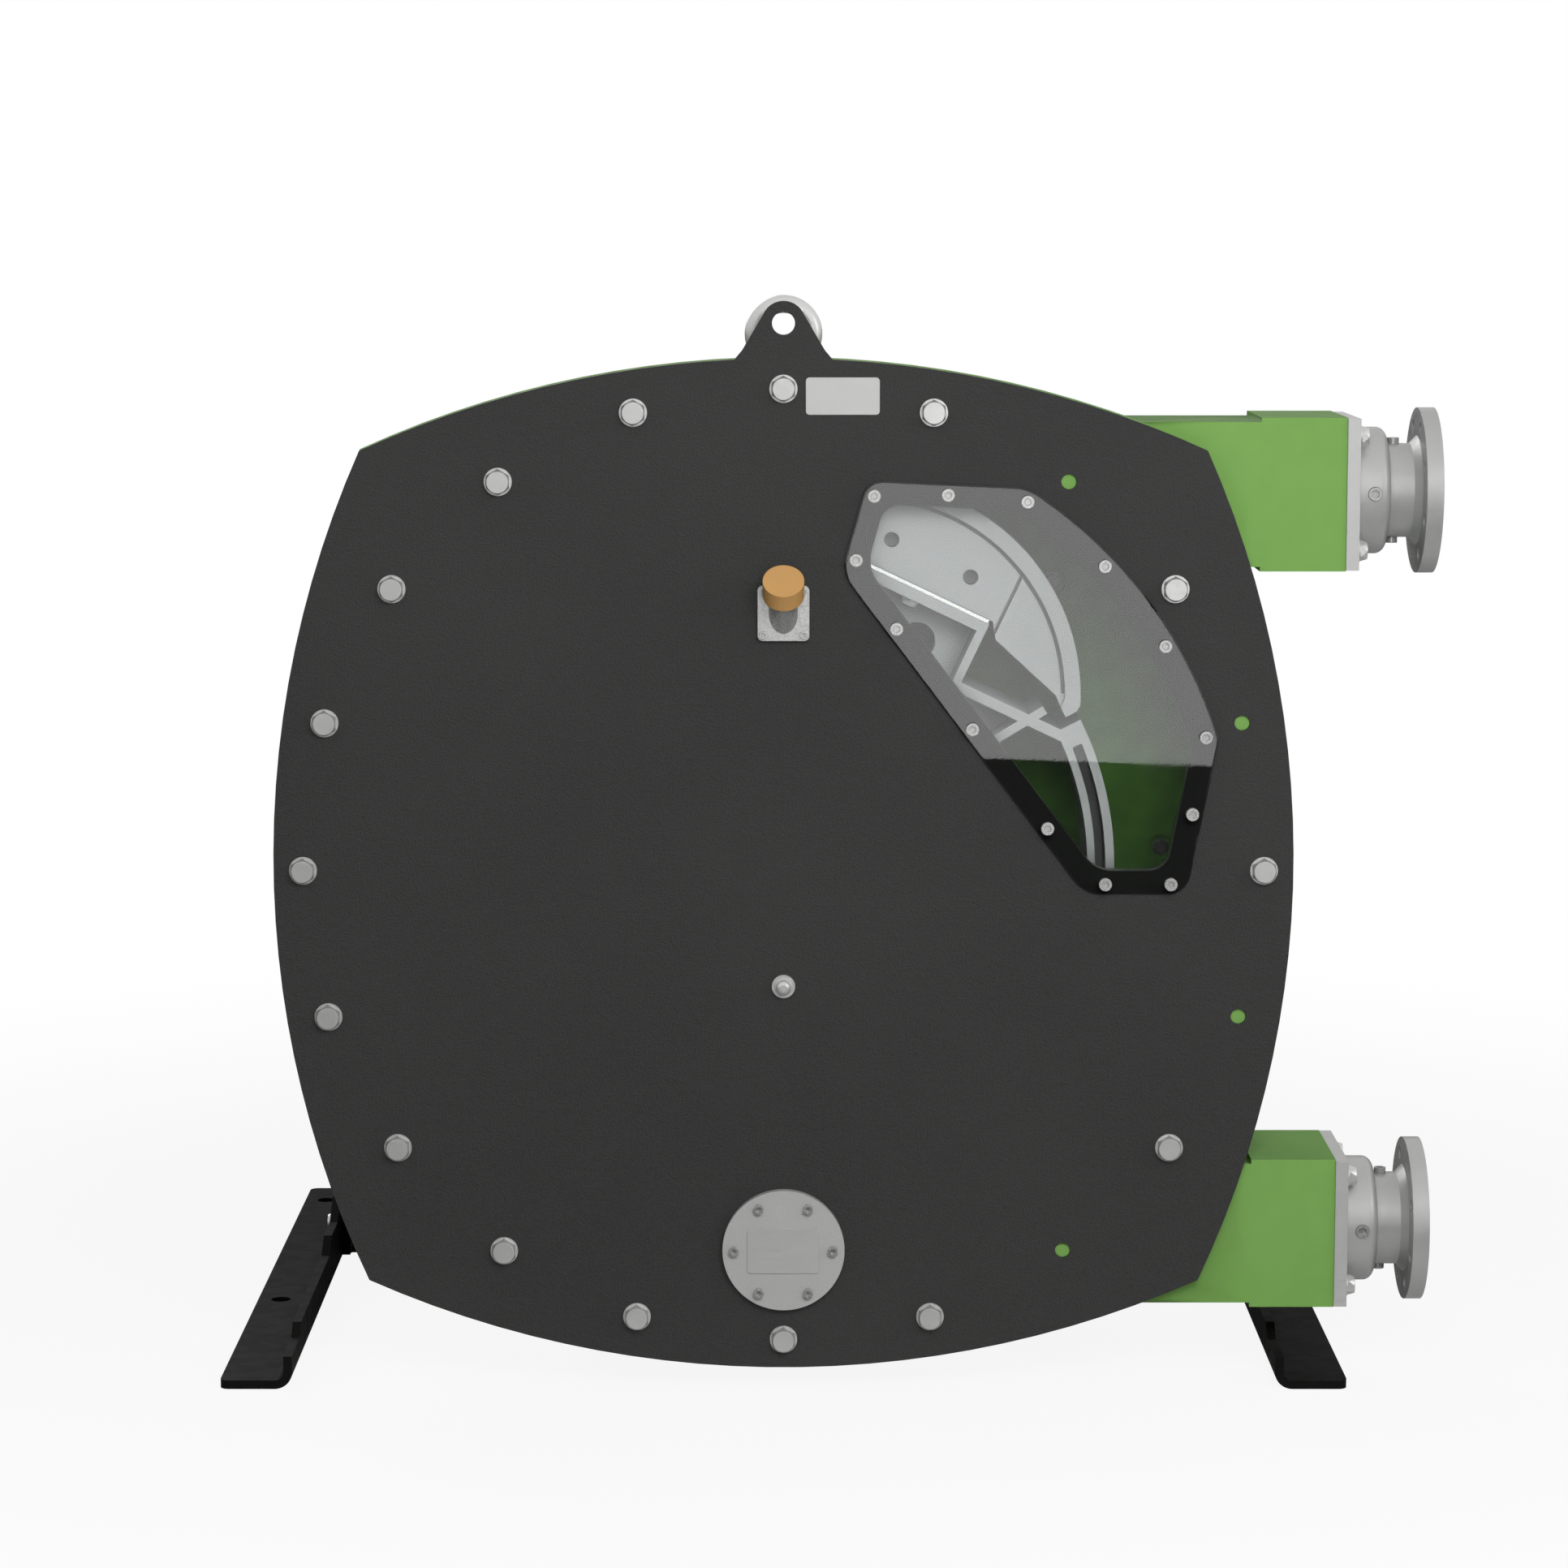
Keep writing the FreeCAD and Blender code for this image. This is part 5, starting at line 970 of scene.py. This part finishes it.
def strokes(name: str, lines: list[tuple[Triple, Triple]]) -> bpy.types.Object:
    """Object with one loose edge for each line.

    Args:
        name: The object's name.
        lines: The two ends of each line.

    Returns:
        The linked object.
    """
    mesh = bpy.data.meshes.new(name)
    edges = [(2 * i, 2 * i + 1) for i in range(len(lines))]
    mesh.from_pydata([end for line in lines for end in line], edges, [])
    return link(name, mesh)


def belt(sides: int, start: int, step: int, flip: bool) -> list[tuple[int, ...]]:
    """Ring of four-cornered faces between two rings of points.

    Args:
        sides: Points in a ring.
        start: Number of the first ring's first point.
        step: From a point to its partner in the second ring.
        flip: Turn the faces over.

    Returns:
        The faces.
    """
    faces = []
    for j in range(sides):
        a, b = start + j, start + (j + 1) % sides
        quad = (a, b, b + step, a + step)
        faces.append(quad[::-1] if flip else quad)
    return faces


def turned_piece(name: str, seat: Triple, profile: list[tuple[float, float]],
                 sides: int = 32) -> bpy.types.Object:
    """Closed round piece about a line along X.

    Args:
        name: The object's name.
        seat: Where the profile starts.
        profile: Reach along X and radius of each ring.
        sides: Faces around.

    Returns:
        The linked object.
    """
    points = []
    for reach, radius in profile:
        for i in range(sides):
            turn = 2 * math.pi * i / sides
            points.append((seat[0] + reach, seat[1] + radius * math.cos(turn),
                           seat[2] + radius * math.sin(turn)))
    faces: list[tuple[int, ...]] = []
    for ring in range(len(profile) - 1):
        faces += belt(sides, ring * sides, sides, True)
    last = (len(profile) - 1) * sides
    faces.append(tuple(range(sides)))
    faces.append(tuple(last + sides - 1 - i for i in range(sides)))
    return mesh_object(name, points, faces)


def rounded_block(name: str, low: Triple, high: Triple, edge: float) -> bpy.types.Object:
    """Box with rounded edges.

    Args:
        name: The object's name.
        low: Its lowest corner.
        high: Its highest corner.
        edge: Radius of its edges.

    Returns:
        The linked object.
    """
    mesh = bpy.data.meshes.new(name)
    shape = bmesh.new()
    bmesh.ops.create_cube(shape, size=1.0)
    for vertex in shape.verts:
        for i in range(3):
            vertex.co[i] = (low[i] + high[i]) / 2 + vertex.co[i] * (high[i] - low[i])
    bmesh.ops.bevel(shape, geom=list(shape.edges), offset=edge, segments=3, profile=0.5,
                    affect="EDGES")
    shape.to_mesh(mesh)
    shape.free()
    return link(name, mesh)


# ---------------------------------------------------------------- studio


@dataclass
class Lamp:
    """One soft rectangular lamp."""

    name: str
    place: Triple
    aim: Triple
    width: float
    height: float
    power: float
    mirrored: bool = True

    def make(self) -> None:
        """Add the lamp."""
        data = bpy.data.lights.new(self.name, "AREA")
        data.shape, data.size, data.size_y, data.energy = (
            "RECTANGLE", self.width, self.height, self.power)
        obj = link(self.name, data)
        obj.location = self.place
        look = Vector(self.aim) - Vector(self.place)
        obj.rotation_euler = look.to_track_quat("-Z", "Y").to_euler()
        obj.visible_glossy = self.mirrored


@dataclass
class Studio:
    """Camera, lamps, pale floor and the card that the window reflects."""

    lens: float = 101.31
    eye: Triple = (0.0007, -6.5504, 1.5927)
    tilt: float = 7.574
    floor_half: float = 60.0
    floor_near: float = 1.0
    floor_far: float = 3.0
    floor_white: float = 0.9
    floor_colour: Colour = (0.72, 0.72, 0.72)
    card_y: float = -5.9
    card_left: float = 0.08
    card_right: float = 1.17
    card_low: float = 0.2306
    card_high: float = 1.0
    card_fall: float = 0.0344
    card_light: float = 4.05
    flag_high: float = 1.05
    flag_light: float = 0.02
    flag_side: float = 5.0
    flag_back: float = 0.1         # front flag behind the card
    flag_lift: float = 0.002
    flag_end: float = -1.1         # where the floor flag stops before the pump
    rear_flag: Triple = (8.0, 7.0, 2.4)
    mirror: float = 0.95
    ambient: float = 0.17
    lamps: list[Lamp] = field(default_factory=lambda: [
        Lamp("key", (0.7, -4.2, 2.35), (0.05, -0.7, 0.85), 2.0, 1.3, 118.0,
             mirrored=False),
        Lamp("side", (4.6, -3.2, 2.4), (0.4, -0.6, 0.7), 2.0, 2.0, 30.0),
        Lamp("rear", (-2.2, 3.6, 3.4), (0.0, 0.0, 0.6), 3.0, 3.0, 75.0),
    ])

    def camera(self) -> None:
        """Add the camera."""
        data = bpy.data.cameras.new("camera")
        data.lens, data.sensor_width, data.clip_end = self.lens, 36.0, 200.0
        obj = link("camera", data)
        obj.location = self.eye
        obj.rotation_euler = (math.radians(90.0 - self.tilt), 0.0, 0.0)
        bpy.context.scene.camera = obj

    def world(self) -> None:
        """Soft even light, with a white background where it is seen."""
        world = bpy.data.worlds.new("studio")
        world.use_nodes = True
        world.node_tree.nodes.clear()
        tree = Tree(world.node_tree)
        back = tree.add("ShaderNodeBackground")
        path = tree.add("ShaderNodeLightPath")
        mirrored = tree.math("MULTIPLY", path.outputs["Is Glossy Ray"], self.mirror)
        shown = tree.math("MAXIMUM", path.outputs["Is Camera Ray"], mirrored)
        strength = tree.math("MAXIMUM", shown, self.ambient)
        tree.fill(back, Color=(1.0, 1.0, 1.0, 1.0), Strength=strength)
        tree.end(back.outputs[0], "World")
        bpy.context.scene.world = world

    def floor(self) -> None:
        """Pale floor that keeps a faint shadow near the pump and whitens away from it."""
        h = self.floor_half
        obj = mesh_object("floor", [(-h, -h, 0.0), (h, -h, 0.0), (h, h, 0.0), (-h, h, 0.0)],
                          [(0, 1, 2, 3)])
        tree = self._stage_tree(obj)
        matt, glow = tree.add("ShaderNodeBsdfDiffuse"), tree.add("ShaderNodeEmission")
        tree.fill(matt, Color=(*self.floor_colour, 1.0))
        tree.fill(glow, Color=(1.0, 1.0, 1.0, 1.0), Strength=1.0)
        place = tree.add("ShaderNodeTexCoord").outputs["Object"]
        away = tree.ramp(tree.vector("LENGTH", place).outputs["Value"], self.floor_near,
                         self.floor_far, self.floor_white, 1.0)
        seen = tree.add("ShaderNodeLightPath").outputs["Is Camera Ray"]
        mixed = tree.add("ShaderNodeMixShader")
        tree.feed(mixed.inputs[0], tree.math("MULTIPLY", seen, away))
        tree.feed(mixed.inputs[1], matt.outputs[0])
        tree.feed(mixed.inputs[2], glow.outputs[0])
        tree.end(mixed.outputs[0])

    @staticmethod
    def _stage_tree(obj: bpy.types.Object) -> Tree:
        """Empty material for a piece of the stage.

        Args:
            obj: The floor or a card.

        Returns:
            The material's tree.
        """
        material, tree = empty_material(obj.name)
        obj.data.materials.append(material)
        obj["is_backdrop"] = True
        return tree

    def card(self, name: str, corners: list[Triple], light: float) -> None:
        """Card seen only in reflections.

        Args:
            name: Its name.
            corners: Its corners.
            light: How bright it is.
        """
        obj = mesh_object(name, corners, [tuple(range(len(corners)))])
        tree = self._stage_tree(obj)
        glow = tree.add("ShaderNodeEmission")
        tree.fill(glow, Color=(1.0, 1.0, 1.0, 1.0), Strength=light)
        tree.end(glow.outputs[0])
        obj.visible_camera = obj.visible_diffuse = False
        obj.visible_transmission = obj.visible_shadow = False

    def cards(self) -> None:
        """Bright card whose lower edge crosses the window, and dark flags around it."""
        left, right, y = self.card_left, self.card_right, self.card_y
        lows = [self.card_low - self.card_fall * x for x in (right, left)]
        self.card("card", [(left, y, self.card_high), (right, y, self.card_high),
                           (right, y, lows[0]), (left, y, lows[1])], self.card_light)
        front, side, high = self.card_y - self.flag_back, self.flag_side, self.flag_high
        lift, end, (wide, rear, top) = self.flag_lift, self.flag_end, self.rear_flag
        self.card("flag_front", [(-side, front, high), (side, front, high), (side, front, 0.0),
                                 (-side, front, 0.0)], self.flag_light)
        self.card("flag_floor", [(-side, front, lift), (side, front, lift), (side, end, lift),
                                 (-side, end, lift)], self.flag_light)
        self.card("flag_rear", [(-wide, rear, 0.0), (wide, rear, 0.0), (wide, rear, top),
                                (-wide, rear, top)], self.flag_light)

    def build(self) -> None:
        """Set the whole studio up."""
        bpy.context.scene.view_settings.view_transform = "Standard"
        self.camera()
        self.world()
        self.floor()
        self.cards()
        for lamp in self.lamps:
            lamp.make()
        LOG.info("studio ready")


# ------------------------------------------------------------- sub-assemblies


class Cover(Part):
    """Front cover with its window, service cover, filler and level plug."""

    def dress(self) -> None:
        """Give every node of the cover its finish."""
        self.paint(COVER_PAINT, "front_cover")
        self.paint(ZINC_STEEL, "cover_bolts", "cover_washers", "level_plug")
        self.paint(BLACK_RUBBER, "cover_gasket", "window_seal_ring")
        self.paint(ClearPane(), "window_pane")
        self.paint(STAINLESS, "window_screws", "service_screws", "filler_plate",
                   "filler_pipe", "filler_screws")
        self.paint(PALE_PAINT, "service_cover")
        self.paint(PLATE_ALLOY, "service_blank_plate", "cover_blank_plate")
        self.paint(BRASS_CAP, "filler_cap")


@dataclass(frozen=True)
class HoseSizes:
    """Sizes of the pump hose and of what bends and squeezes it, in metres."""

    arc: float = 0.5073
    radius: float = 0.0665
    bore: float = 0.0475
    track: float = 0.5741
    port_height: float = 0.4957
    bend_start: float = 0.220
    bend_end: float = 0.520
    end: float = 0.735
    shoe_turn: float = 25.4
    shoe_centre: float = 0.253
    shoe_radius: float = 0.285
    gap: float = 0.0004
    least_room: float = 0.030      # a pressed hose stays at least this deep
    least_bore: float = 0.002      # and its bore this wide
    ramp: float = 2.6              # how fast the depth recovers beside a shoe, per metre
    ramp_reach: float = 0.25       # how far a shoe is felt
    flat_ease: float = 3.0         # how fast the flat sides of a section open


class Casing(Part):
    """Casing with the hose inside it, the lifting eye and the wall's bolts."""

    sizes = HoseSizes()
    rings = 260
    sides = 40

    def dress(self) -> None:
        """Give every node of the casing its finish."""
        self.paint(CASING_PAINT, "pump_casing", "casing_back", "upper_port_box",
                   "lower_port_box")
        self.paint(ZINC_STEEL, "lifting_eye")
        self.paint(DARK_BOLT, "back_wall_bolts", "drain_plug")

    def _station(self, run: float) -> tuple[Vector, Vector]:
        """Middle of the hose and its outward direction in X and Z.

        Args:
            run: Signed length from the middle of the U, plus to the upper port.

        Returns:
            The point and the unit direction, both from the axis, with Y left at 0.
        """
        s = self.sizes
        sign = 1.0 if run >= 0 else -1.0
        quarter = s.arc * math.pi / 2
        if abs(run) <= quarter:
            turn = run / s.arc
            way = Vector((-math.cos(turn), 0.0, math.sin(turn)))
            return way * s.arc, way
        x = abs(run) - quarter
        share = min(1.0, max(0.0, (x - s.bend_start) / (s.bend_end - s.bend_start)))
        drop = 2 * share * share if share < 0.5 else 1 - 2 * (1 - share) ** 2
        z = s.arc - (s.arc - s.port_height) * drop
        return Vector((x, 0.0, sign * z)), Vector((0.0, 0.0, sign))

    def _free_depth(self, point: Vector, way: Vector) -> float:
        """Room between the track and the nearer shoe.

        Args:
            point: Middle of the hose.
            way: Outward direction there.

        Returns:
            Free depth in metres, at most the hose's own diameter.
        """
        s = self.sizes
        outer = point + way * s.radius
        room = 2 * s.radius
        for side in (0.0, 180.0):
            turn = math.radians(s.shoe_turn + side)
            centre = Vector((math.sin(turn), 0.0, math.cos(turn))) * s.shoe_centre
            offset = outer - centre
            along = offset.dot(way)
            inside = s.shoe_radius ** 2 - (offset.length_squared - along * along)
            if inside > 0.0 and along > 0.0:
                room = min(room, along - math.sqrt(inside))
        return max(room, s.least_room)

    def _depths(self, runs: list[float]) -> list[float]:
        """Hose depth at each station, smooth and never more than there is room for.

        Args:
            runs: Stations along the hose.

        Returns:
            One depth for each station.
        """
        s = self.sizes
        rooms = [self._free_depth(*self._station(run)) for run in runs]
        return [min(room + s.ramp * (run - other) ** 2 for other, room in zip(runs, rooms)
                    if abs(run - other) < s.ramp_reach) - s.gap for run in runs]

    def _section(self, depth: float, radius: float) -> list[tuple[float, float]]:
        """Closed outline of a squeezed round of the same girth.

        Args:
            depth: Its depth.
            radius: Radius when free.

        Returns:
            Depth and width of each point from its middle.
        """
        half = min(depth / 2, radius)
        flat = math.pi * (radius - half) / 2
        outline = []
        for i in range(self.sides):
            turn = 2 * math.pi * i / self.sides
            wide, deep = math.sin(turn), math.cos(turn)
            ease = min(1.0, abs(wide) * self.sizes.flat_ease)
            reach = math.copysign(flat, wide) * ease
            outline.append((deep * half, wide * half + reach))
        return outline

    def build(self) -> None:
        """Make the hose, flattened where the shoes press it on the track."""
        s = self.sizes
        low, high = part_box("hose")
        middle_y = (low[1] + high[1]) / 2
        shaft_low, shaft_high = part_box("drive_shaft")
        axis = Vector(((shaft_low[0] + shaft_high[0]) / 2, middle_y,
                       (shaft_low[2] + shaft_high[2]) / 2))
        reach = s.arc * math.pi / 2 + s.end - s.gap
        runs = [-reach + 2 * reach * i / (self.rings - 1) for i in range(self.rings)]
        depths = self._depths(runs)
        points: list[Triple] = []
        for skin in (s.radius - s.gap, s.bore):
            for run, depth in zip(runs, depths):
                middle, way = self._station(run)
                wall = s.radius - s.bore
                deep = depth if skin > s.bore else max(depth - 2 * wall, s.least_bore)
                centre = middle + way * (s.radius - s.gap - depth / 2)
                if depth > 2 * (s.radius - s.gap):
                    centre = middle
                for out, side in self._section(deep, skin):
                    spot = axis + centre + way * out + Vector((0.0, side, 0.0))
                    points.append(spot[:])
        n, rings = self.sides, self.rings
        shell = rings * n
        faces = []
        for start in (0, shell):
            for i in range(rings - 1):
                faces += belt(n, start + i * n, n, start == 0)
        for i in (0, rings - 1):
            faces += belt(n, i * n, shell, i > 0)
        obj = mesh_object("pump_hose", points, faces)
        obj.data.polygons.foreach_set("use_smooth", [True] * len(obj.data.polygons))
        run_map = obj.data.uv_layers.new(name="run")
        for item in obj.data.loops:
            ring, side = divmod(item.vertex_index, n)
            run_map.data[item.index].uv = (runs[ring % rings], side / n)
        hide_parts("hose")
        self.finish_piece(obj, HOSE_RUBBER, "pump")


@dataclass(frozen=True)
class BoxSizes:
    """Depths of a port box's front faces, in metres."""

    leg_front: float = -0.755
    collar_front: float = -0.760
    near: float = 0.00002
    sharp: float = 0.5


class Ports(Part):
    """Port boxes, clamp plates, hubs and flanged inserts of both ports."""

    sizes = BoxSizes()

    def build(self) -> None:
        """Give both port boxes one even front face."""
        s = self.sizes
        for side in ("upper", "lower"):
            node = self.nodes[f"{side}_port_box"]
            shape = bmesh.new()
            shape.from_mesh(node.data)
            shape.transform(node.matrix_world)
            bmesh.ops.remove_doubles(shape, verts=shape.verts, dist=s.near / 4)
            for vertex in shape.verts:
                if abs(vertex.co.y - s.leg_front) < s.near:
                    vertex.co.y = s.collar_front
            bmesh.ops.dissolve_degenerate(shape, edges=shape.edges, dist=s.near / 4)
            bmesh.ops.recalc_face_normals(shape, faces=shape.faces)
            mesh = bpy.data.meshes.new(f"{side}_box_even")
            shape.to_mesh(mesh)
            shape.free()
            mesh.shade_smooth()
            mesh.set_sharp_from_angle(angle=s.sharp)
            obj = link(f"{side}_box_even", mesh)
            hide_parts(node.name)
            self.finish_piece(obj, CASING_PAINT, "pump")

    def dress(self) -> None:
        """Give every node of the ports its finish, turned about its own axis."""
        self.paint(PLATE_ALLOY, "upper_port_plate", "lower_port_plate")
        self.paint(ZINC_STEEL, "port_plate_bolts")
        self.paint(STAINLESS, "port_plugs")
        for side in ("upper", "lower"):
            low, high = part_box(f"{side}_port_flange")
            centre = tuple((a + b) / 2 for a, b in zip(low, high))
            turned = Finish(f"turned_{side}", "stainless", (0.46, 0.46, 0.457),
                            (0.42, 0.42, 0.417), (0.60, 0.60, 0.595), 0.43, Grain.LATHE, 1400.0,
                            0.00002, metallic=0.45, speck=0.12, wear=0.4, round_edge=0.0012,
                            axis=(1.0, 0.0, 0.0), centre=centre, dust=0.05)
            self.paint(turned, f"{side}_port_flange", f"{side}_port_hub")


class Rotor(Part):
    """Rotor with its shoes, shims, bolts and shaft."""

    def dress(self) -> None:
        """Give every node of the rotor its finish."""
        self.paint(ROTOR_ALLOY, "rotor", "shoe_a", "shoe_b")
        self.paint(STAINLESS, "shims_a", "shims_b", "drive_shaft", "rotor_key", "hub_cap")
        self.paint(ZINC_STEEL, "shoe_bolts", "hub_cap_bolt")


@dataclass(frozen=True)
class FrameSizes:
    """Where the frame's sheets meet, in metres."""

    gusset: float = 0.300
    plate: float = 0.012
    disc_radius: float = 0.536
    disc_back: float = -0.531
    gusset_top: float = 0.585
    bar_low: float = 0.022
    bar_top: float = 0.106
    bar_faces: tuple[float, ...] = (-0.066, -0.054, 0.307)
    end: float = 0.650
    bead: float = 0.0032


class Stand(Part):
    """Feet and the welded frame behind the casing."""

    sizes = FrameSizes()

    def build(self) -> None:
        """Lay weld beads where the frame's sheets meet."""
        s = self.sizes
        lines = []
        foot = AXIS_HEIGHT - math.sqrt(s.disc_radius ** 2 - s.gusset ** 2) + s.plate
        for sign in (-1, 1):
            for face in (-1, 1):
                x = sign * s.gusset + face * (s.plate / 2)
                lines.append(((x, s.disc_back, foot), (x, s.disc_back, s.gusset_top)))
                lines += [((x, y, s.bar_low), (x, y, s.bar_top)) for y in s.bar_faces]
            x = sign * s.end
            lines += [((x, y, s.bar_low), (x, y, s.bar_top)) for y in s.bar_faces]
        welds = self.growth.grow(strokes("frame_welds", lines), self.growth.weld, WELD_METAL,
                                 Step=0.0042, Bead=s.bead, Seed=11)
        self.finish_piece(welds, WELD_METAL, "pump")

    def dress(self) -> None:
        """Give every node of the stand its finish."""
        self.paint(FRAME_PAINT, "foot_left", "foot_right", "support_frame")
        self.paint(ZINC_STEEL, "frame_bolts", "frame_washers", "frame_nuts")


@dataclass(frozen=True)
class DriveSizes:
    """Sizes of the drive's small fittings, in metres."""

    lid: float = 0.008
    lid_over: float = 0.003
    lid_round: float = 0.003
    lid_screw_in: float = 0.012
    screw: float = 0.0045
    screw_rise: float = 0.003
    cowl_screws: int = 6
    cowl_lap: float = 0.006
    plug: float = 0.011
    plug_rise: float = 0.008
    plug_turns: tuple[float, ...] = (0.0, 90.0, 180.0)
    plug_reach: float = 0.165
    plug_place: float = 0.55       # share of the gear unit's length
    gland: float = 0.016
    gland_drop: float = 1.6        # gland's axis below the lid, in its radii


# reach and radius of a cable gland's outline, as shares of its radius
GLAND_PROFILE = ((0.0, 1.0), (0.3, 1.0), (0.3, 0.85), (0.6, 0.85), (0.6, 0.95), (1.5, 0.9),
                 (1.75, 0.7), (1.75, 0.4))


class Drive(Part):
    """Bearing housing, gear unit and motor."""

    sizes = DriveSizes()

    def build(self) -> None:
        """Add the terminal box's lid and gland, and the small screws and plugs."""
        self._terminal_box()
        self._cowl_screws()
        self._gear_plugs()

    def _screwed(self, name: str, spots: list[Triple], finish: Finish, **inputs: object) -> None:
        """Put hexagon screws on points.

        Args:
            name: The piece's name.
            spots: The seats.
            finish: Their finish.
            inputs: The screw tree's inputs.
        """
        base = mesh_object(name, spots, [])
        plain = {"Axis": (0.0, 0.0, 0.0), "Centre": (0.0, 0.0, 0.0), "Spread": (0.0, 0.0, 0.0)}
        self.growth.grow(base, self.growth.screws, finish, **{**plain, **inputs})
        self.finish_piece(base, finish, "pump")

    def _terminal_box(self) -> None:
        """Lid with four screws, and a cable gland on the side."""
        s = self.sizes
        low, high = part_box("terminal_box")
        over = s.lid_over
        top = high[2]
        lid = rounded_block("terminal_lid", (low[0] - over, low[1] - over, top),
                            (high[0] + over, high[1] + over, top + s.lid), s.lid_round)
        self.finish_piece(lid, MOTOR_PAINT, "pump")
        inset = s.lid_screw_in
        spots = [(x, y, top + s.lid) for x in (low[0] + inset, high[0] - inset)
                 for y in (low[1] + inset, high[1] - inset)]
        self._screwed("lid_screws", spots, ZINC_STEEL, Axis=(0.0, 0.0, 1.0), Head=s.screw,
                      Rise=s.screw_rise, Seed=3)
        seat = (high[0], (low[1] + high[1]) / 2, top - s.gland_drop * s.gland)
        profile = [(along * s.gland, out * s.gland) for along, out in GLAND_PROFILE]
        self.finish_piece(turned_piece("cable_gland", seat, profile), FAN_PLASTIC, "pump")

    def _screw_ring(self, name: str, centre: Triple, reach: float, turns: list[float],
                    **inputs: object) -> None:
        """Put screws round a centre, pointing away from it.

        Args:
            name: The piece's name.
            centre: The ring's centre.
            reach: Its radius.
            turns: Angles of the screws from straight up, in radians.
            inputs: The screw tree's other inputs.
        """
        spots = [(centre[0] + reach * math.sin(turn), centre[1],
                  centre[2] + reach * math.cos(turn)) for turn in turns]
        self._screwed(name, spots, ZINC_STEEL, Centre=centre, Spread=(1.0, 1.0, 1.0), **inputs)

    def _cowl_screws(self) -> None:
        """Screws that hold the fan cowl, round its front edge."""
        s = self.sizes
        low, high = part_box("fan_cowl")
        centre = ((low[0] + high[0]) / 2, low[1] + s.cowl_lap, (low[2] + high[2]) / 2)
        turns = [2 * math.pi * (i + 0.5) / s.cowl_screws for i in range(s.cowl_screws)]
        self._screw_ring("cowl_screws", centre, (high[0] - low[0]) / 2, turns, Head=s.screw,
                         Rise=s.screw_rise, Seed=5)

    def _gear_plugs(self) -> None:
        """Oil plugs on the gear unit, between its ribs."""
        s = self.sizes
        low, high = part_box("gear_unit")
        centre = ((low[0] + high[0]) / 2, low[1] + s.plug_place * (high[1] - low[1]),
                  AXIS_HEIGHT)
        turns = [math.radians(angle) for angle in s.plug_turns]
        self._screw_ring("gear_plugs", centre, s.plug_reach, turns, Head=s.plug,
                         Rise=s.plug_rise, Seed=7)

    def dress(self) -> None:
        """Give every node of the drive its finish."""
        self.paint(CASING_PAINT, "bearing_housing", "gear_unit")
        self.paint(ZINC_STEEL, "housing_bolts", "gear_unit_bolts", "front_bearing",
                   "rear_bearing")
        self.paint(BLACK_RUBBER, "shaft_seal")
        self.paint(MOTOR_PAINT, "motor_body", "fan_cowl", "terminal_box")
        self.paint(STAINLESS, "motor_shaft")
        self.paint(FAN_PLASTIC, "motor_fan")


# ----------------------------------------------------------------------- main


def corners() -> list[list[float]]:
    """Box of the shown object.

    Returns:
        Its two corners as plain lists.
    """
    return [list(corner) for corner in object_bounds()]


def main() -> None:
    """Build the pump's sub-assemblies in order."""
    logging.basicConfig(level=logging.INFO, format="%(name)s: %(message)s")
    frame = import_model()
    Studio().build()
    shop = Workshop()
    growth = Growth(shop)
    for kind in (Cover, Casing, Ports, Rotor, Stand, Drive):
        part = kind(frame["nodes"], shop, growth)
        part.build()
        part.dress()


if __name__ == "__main__":
    main()
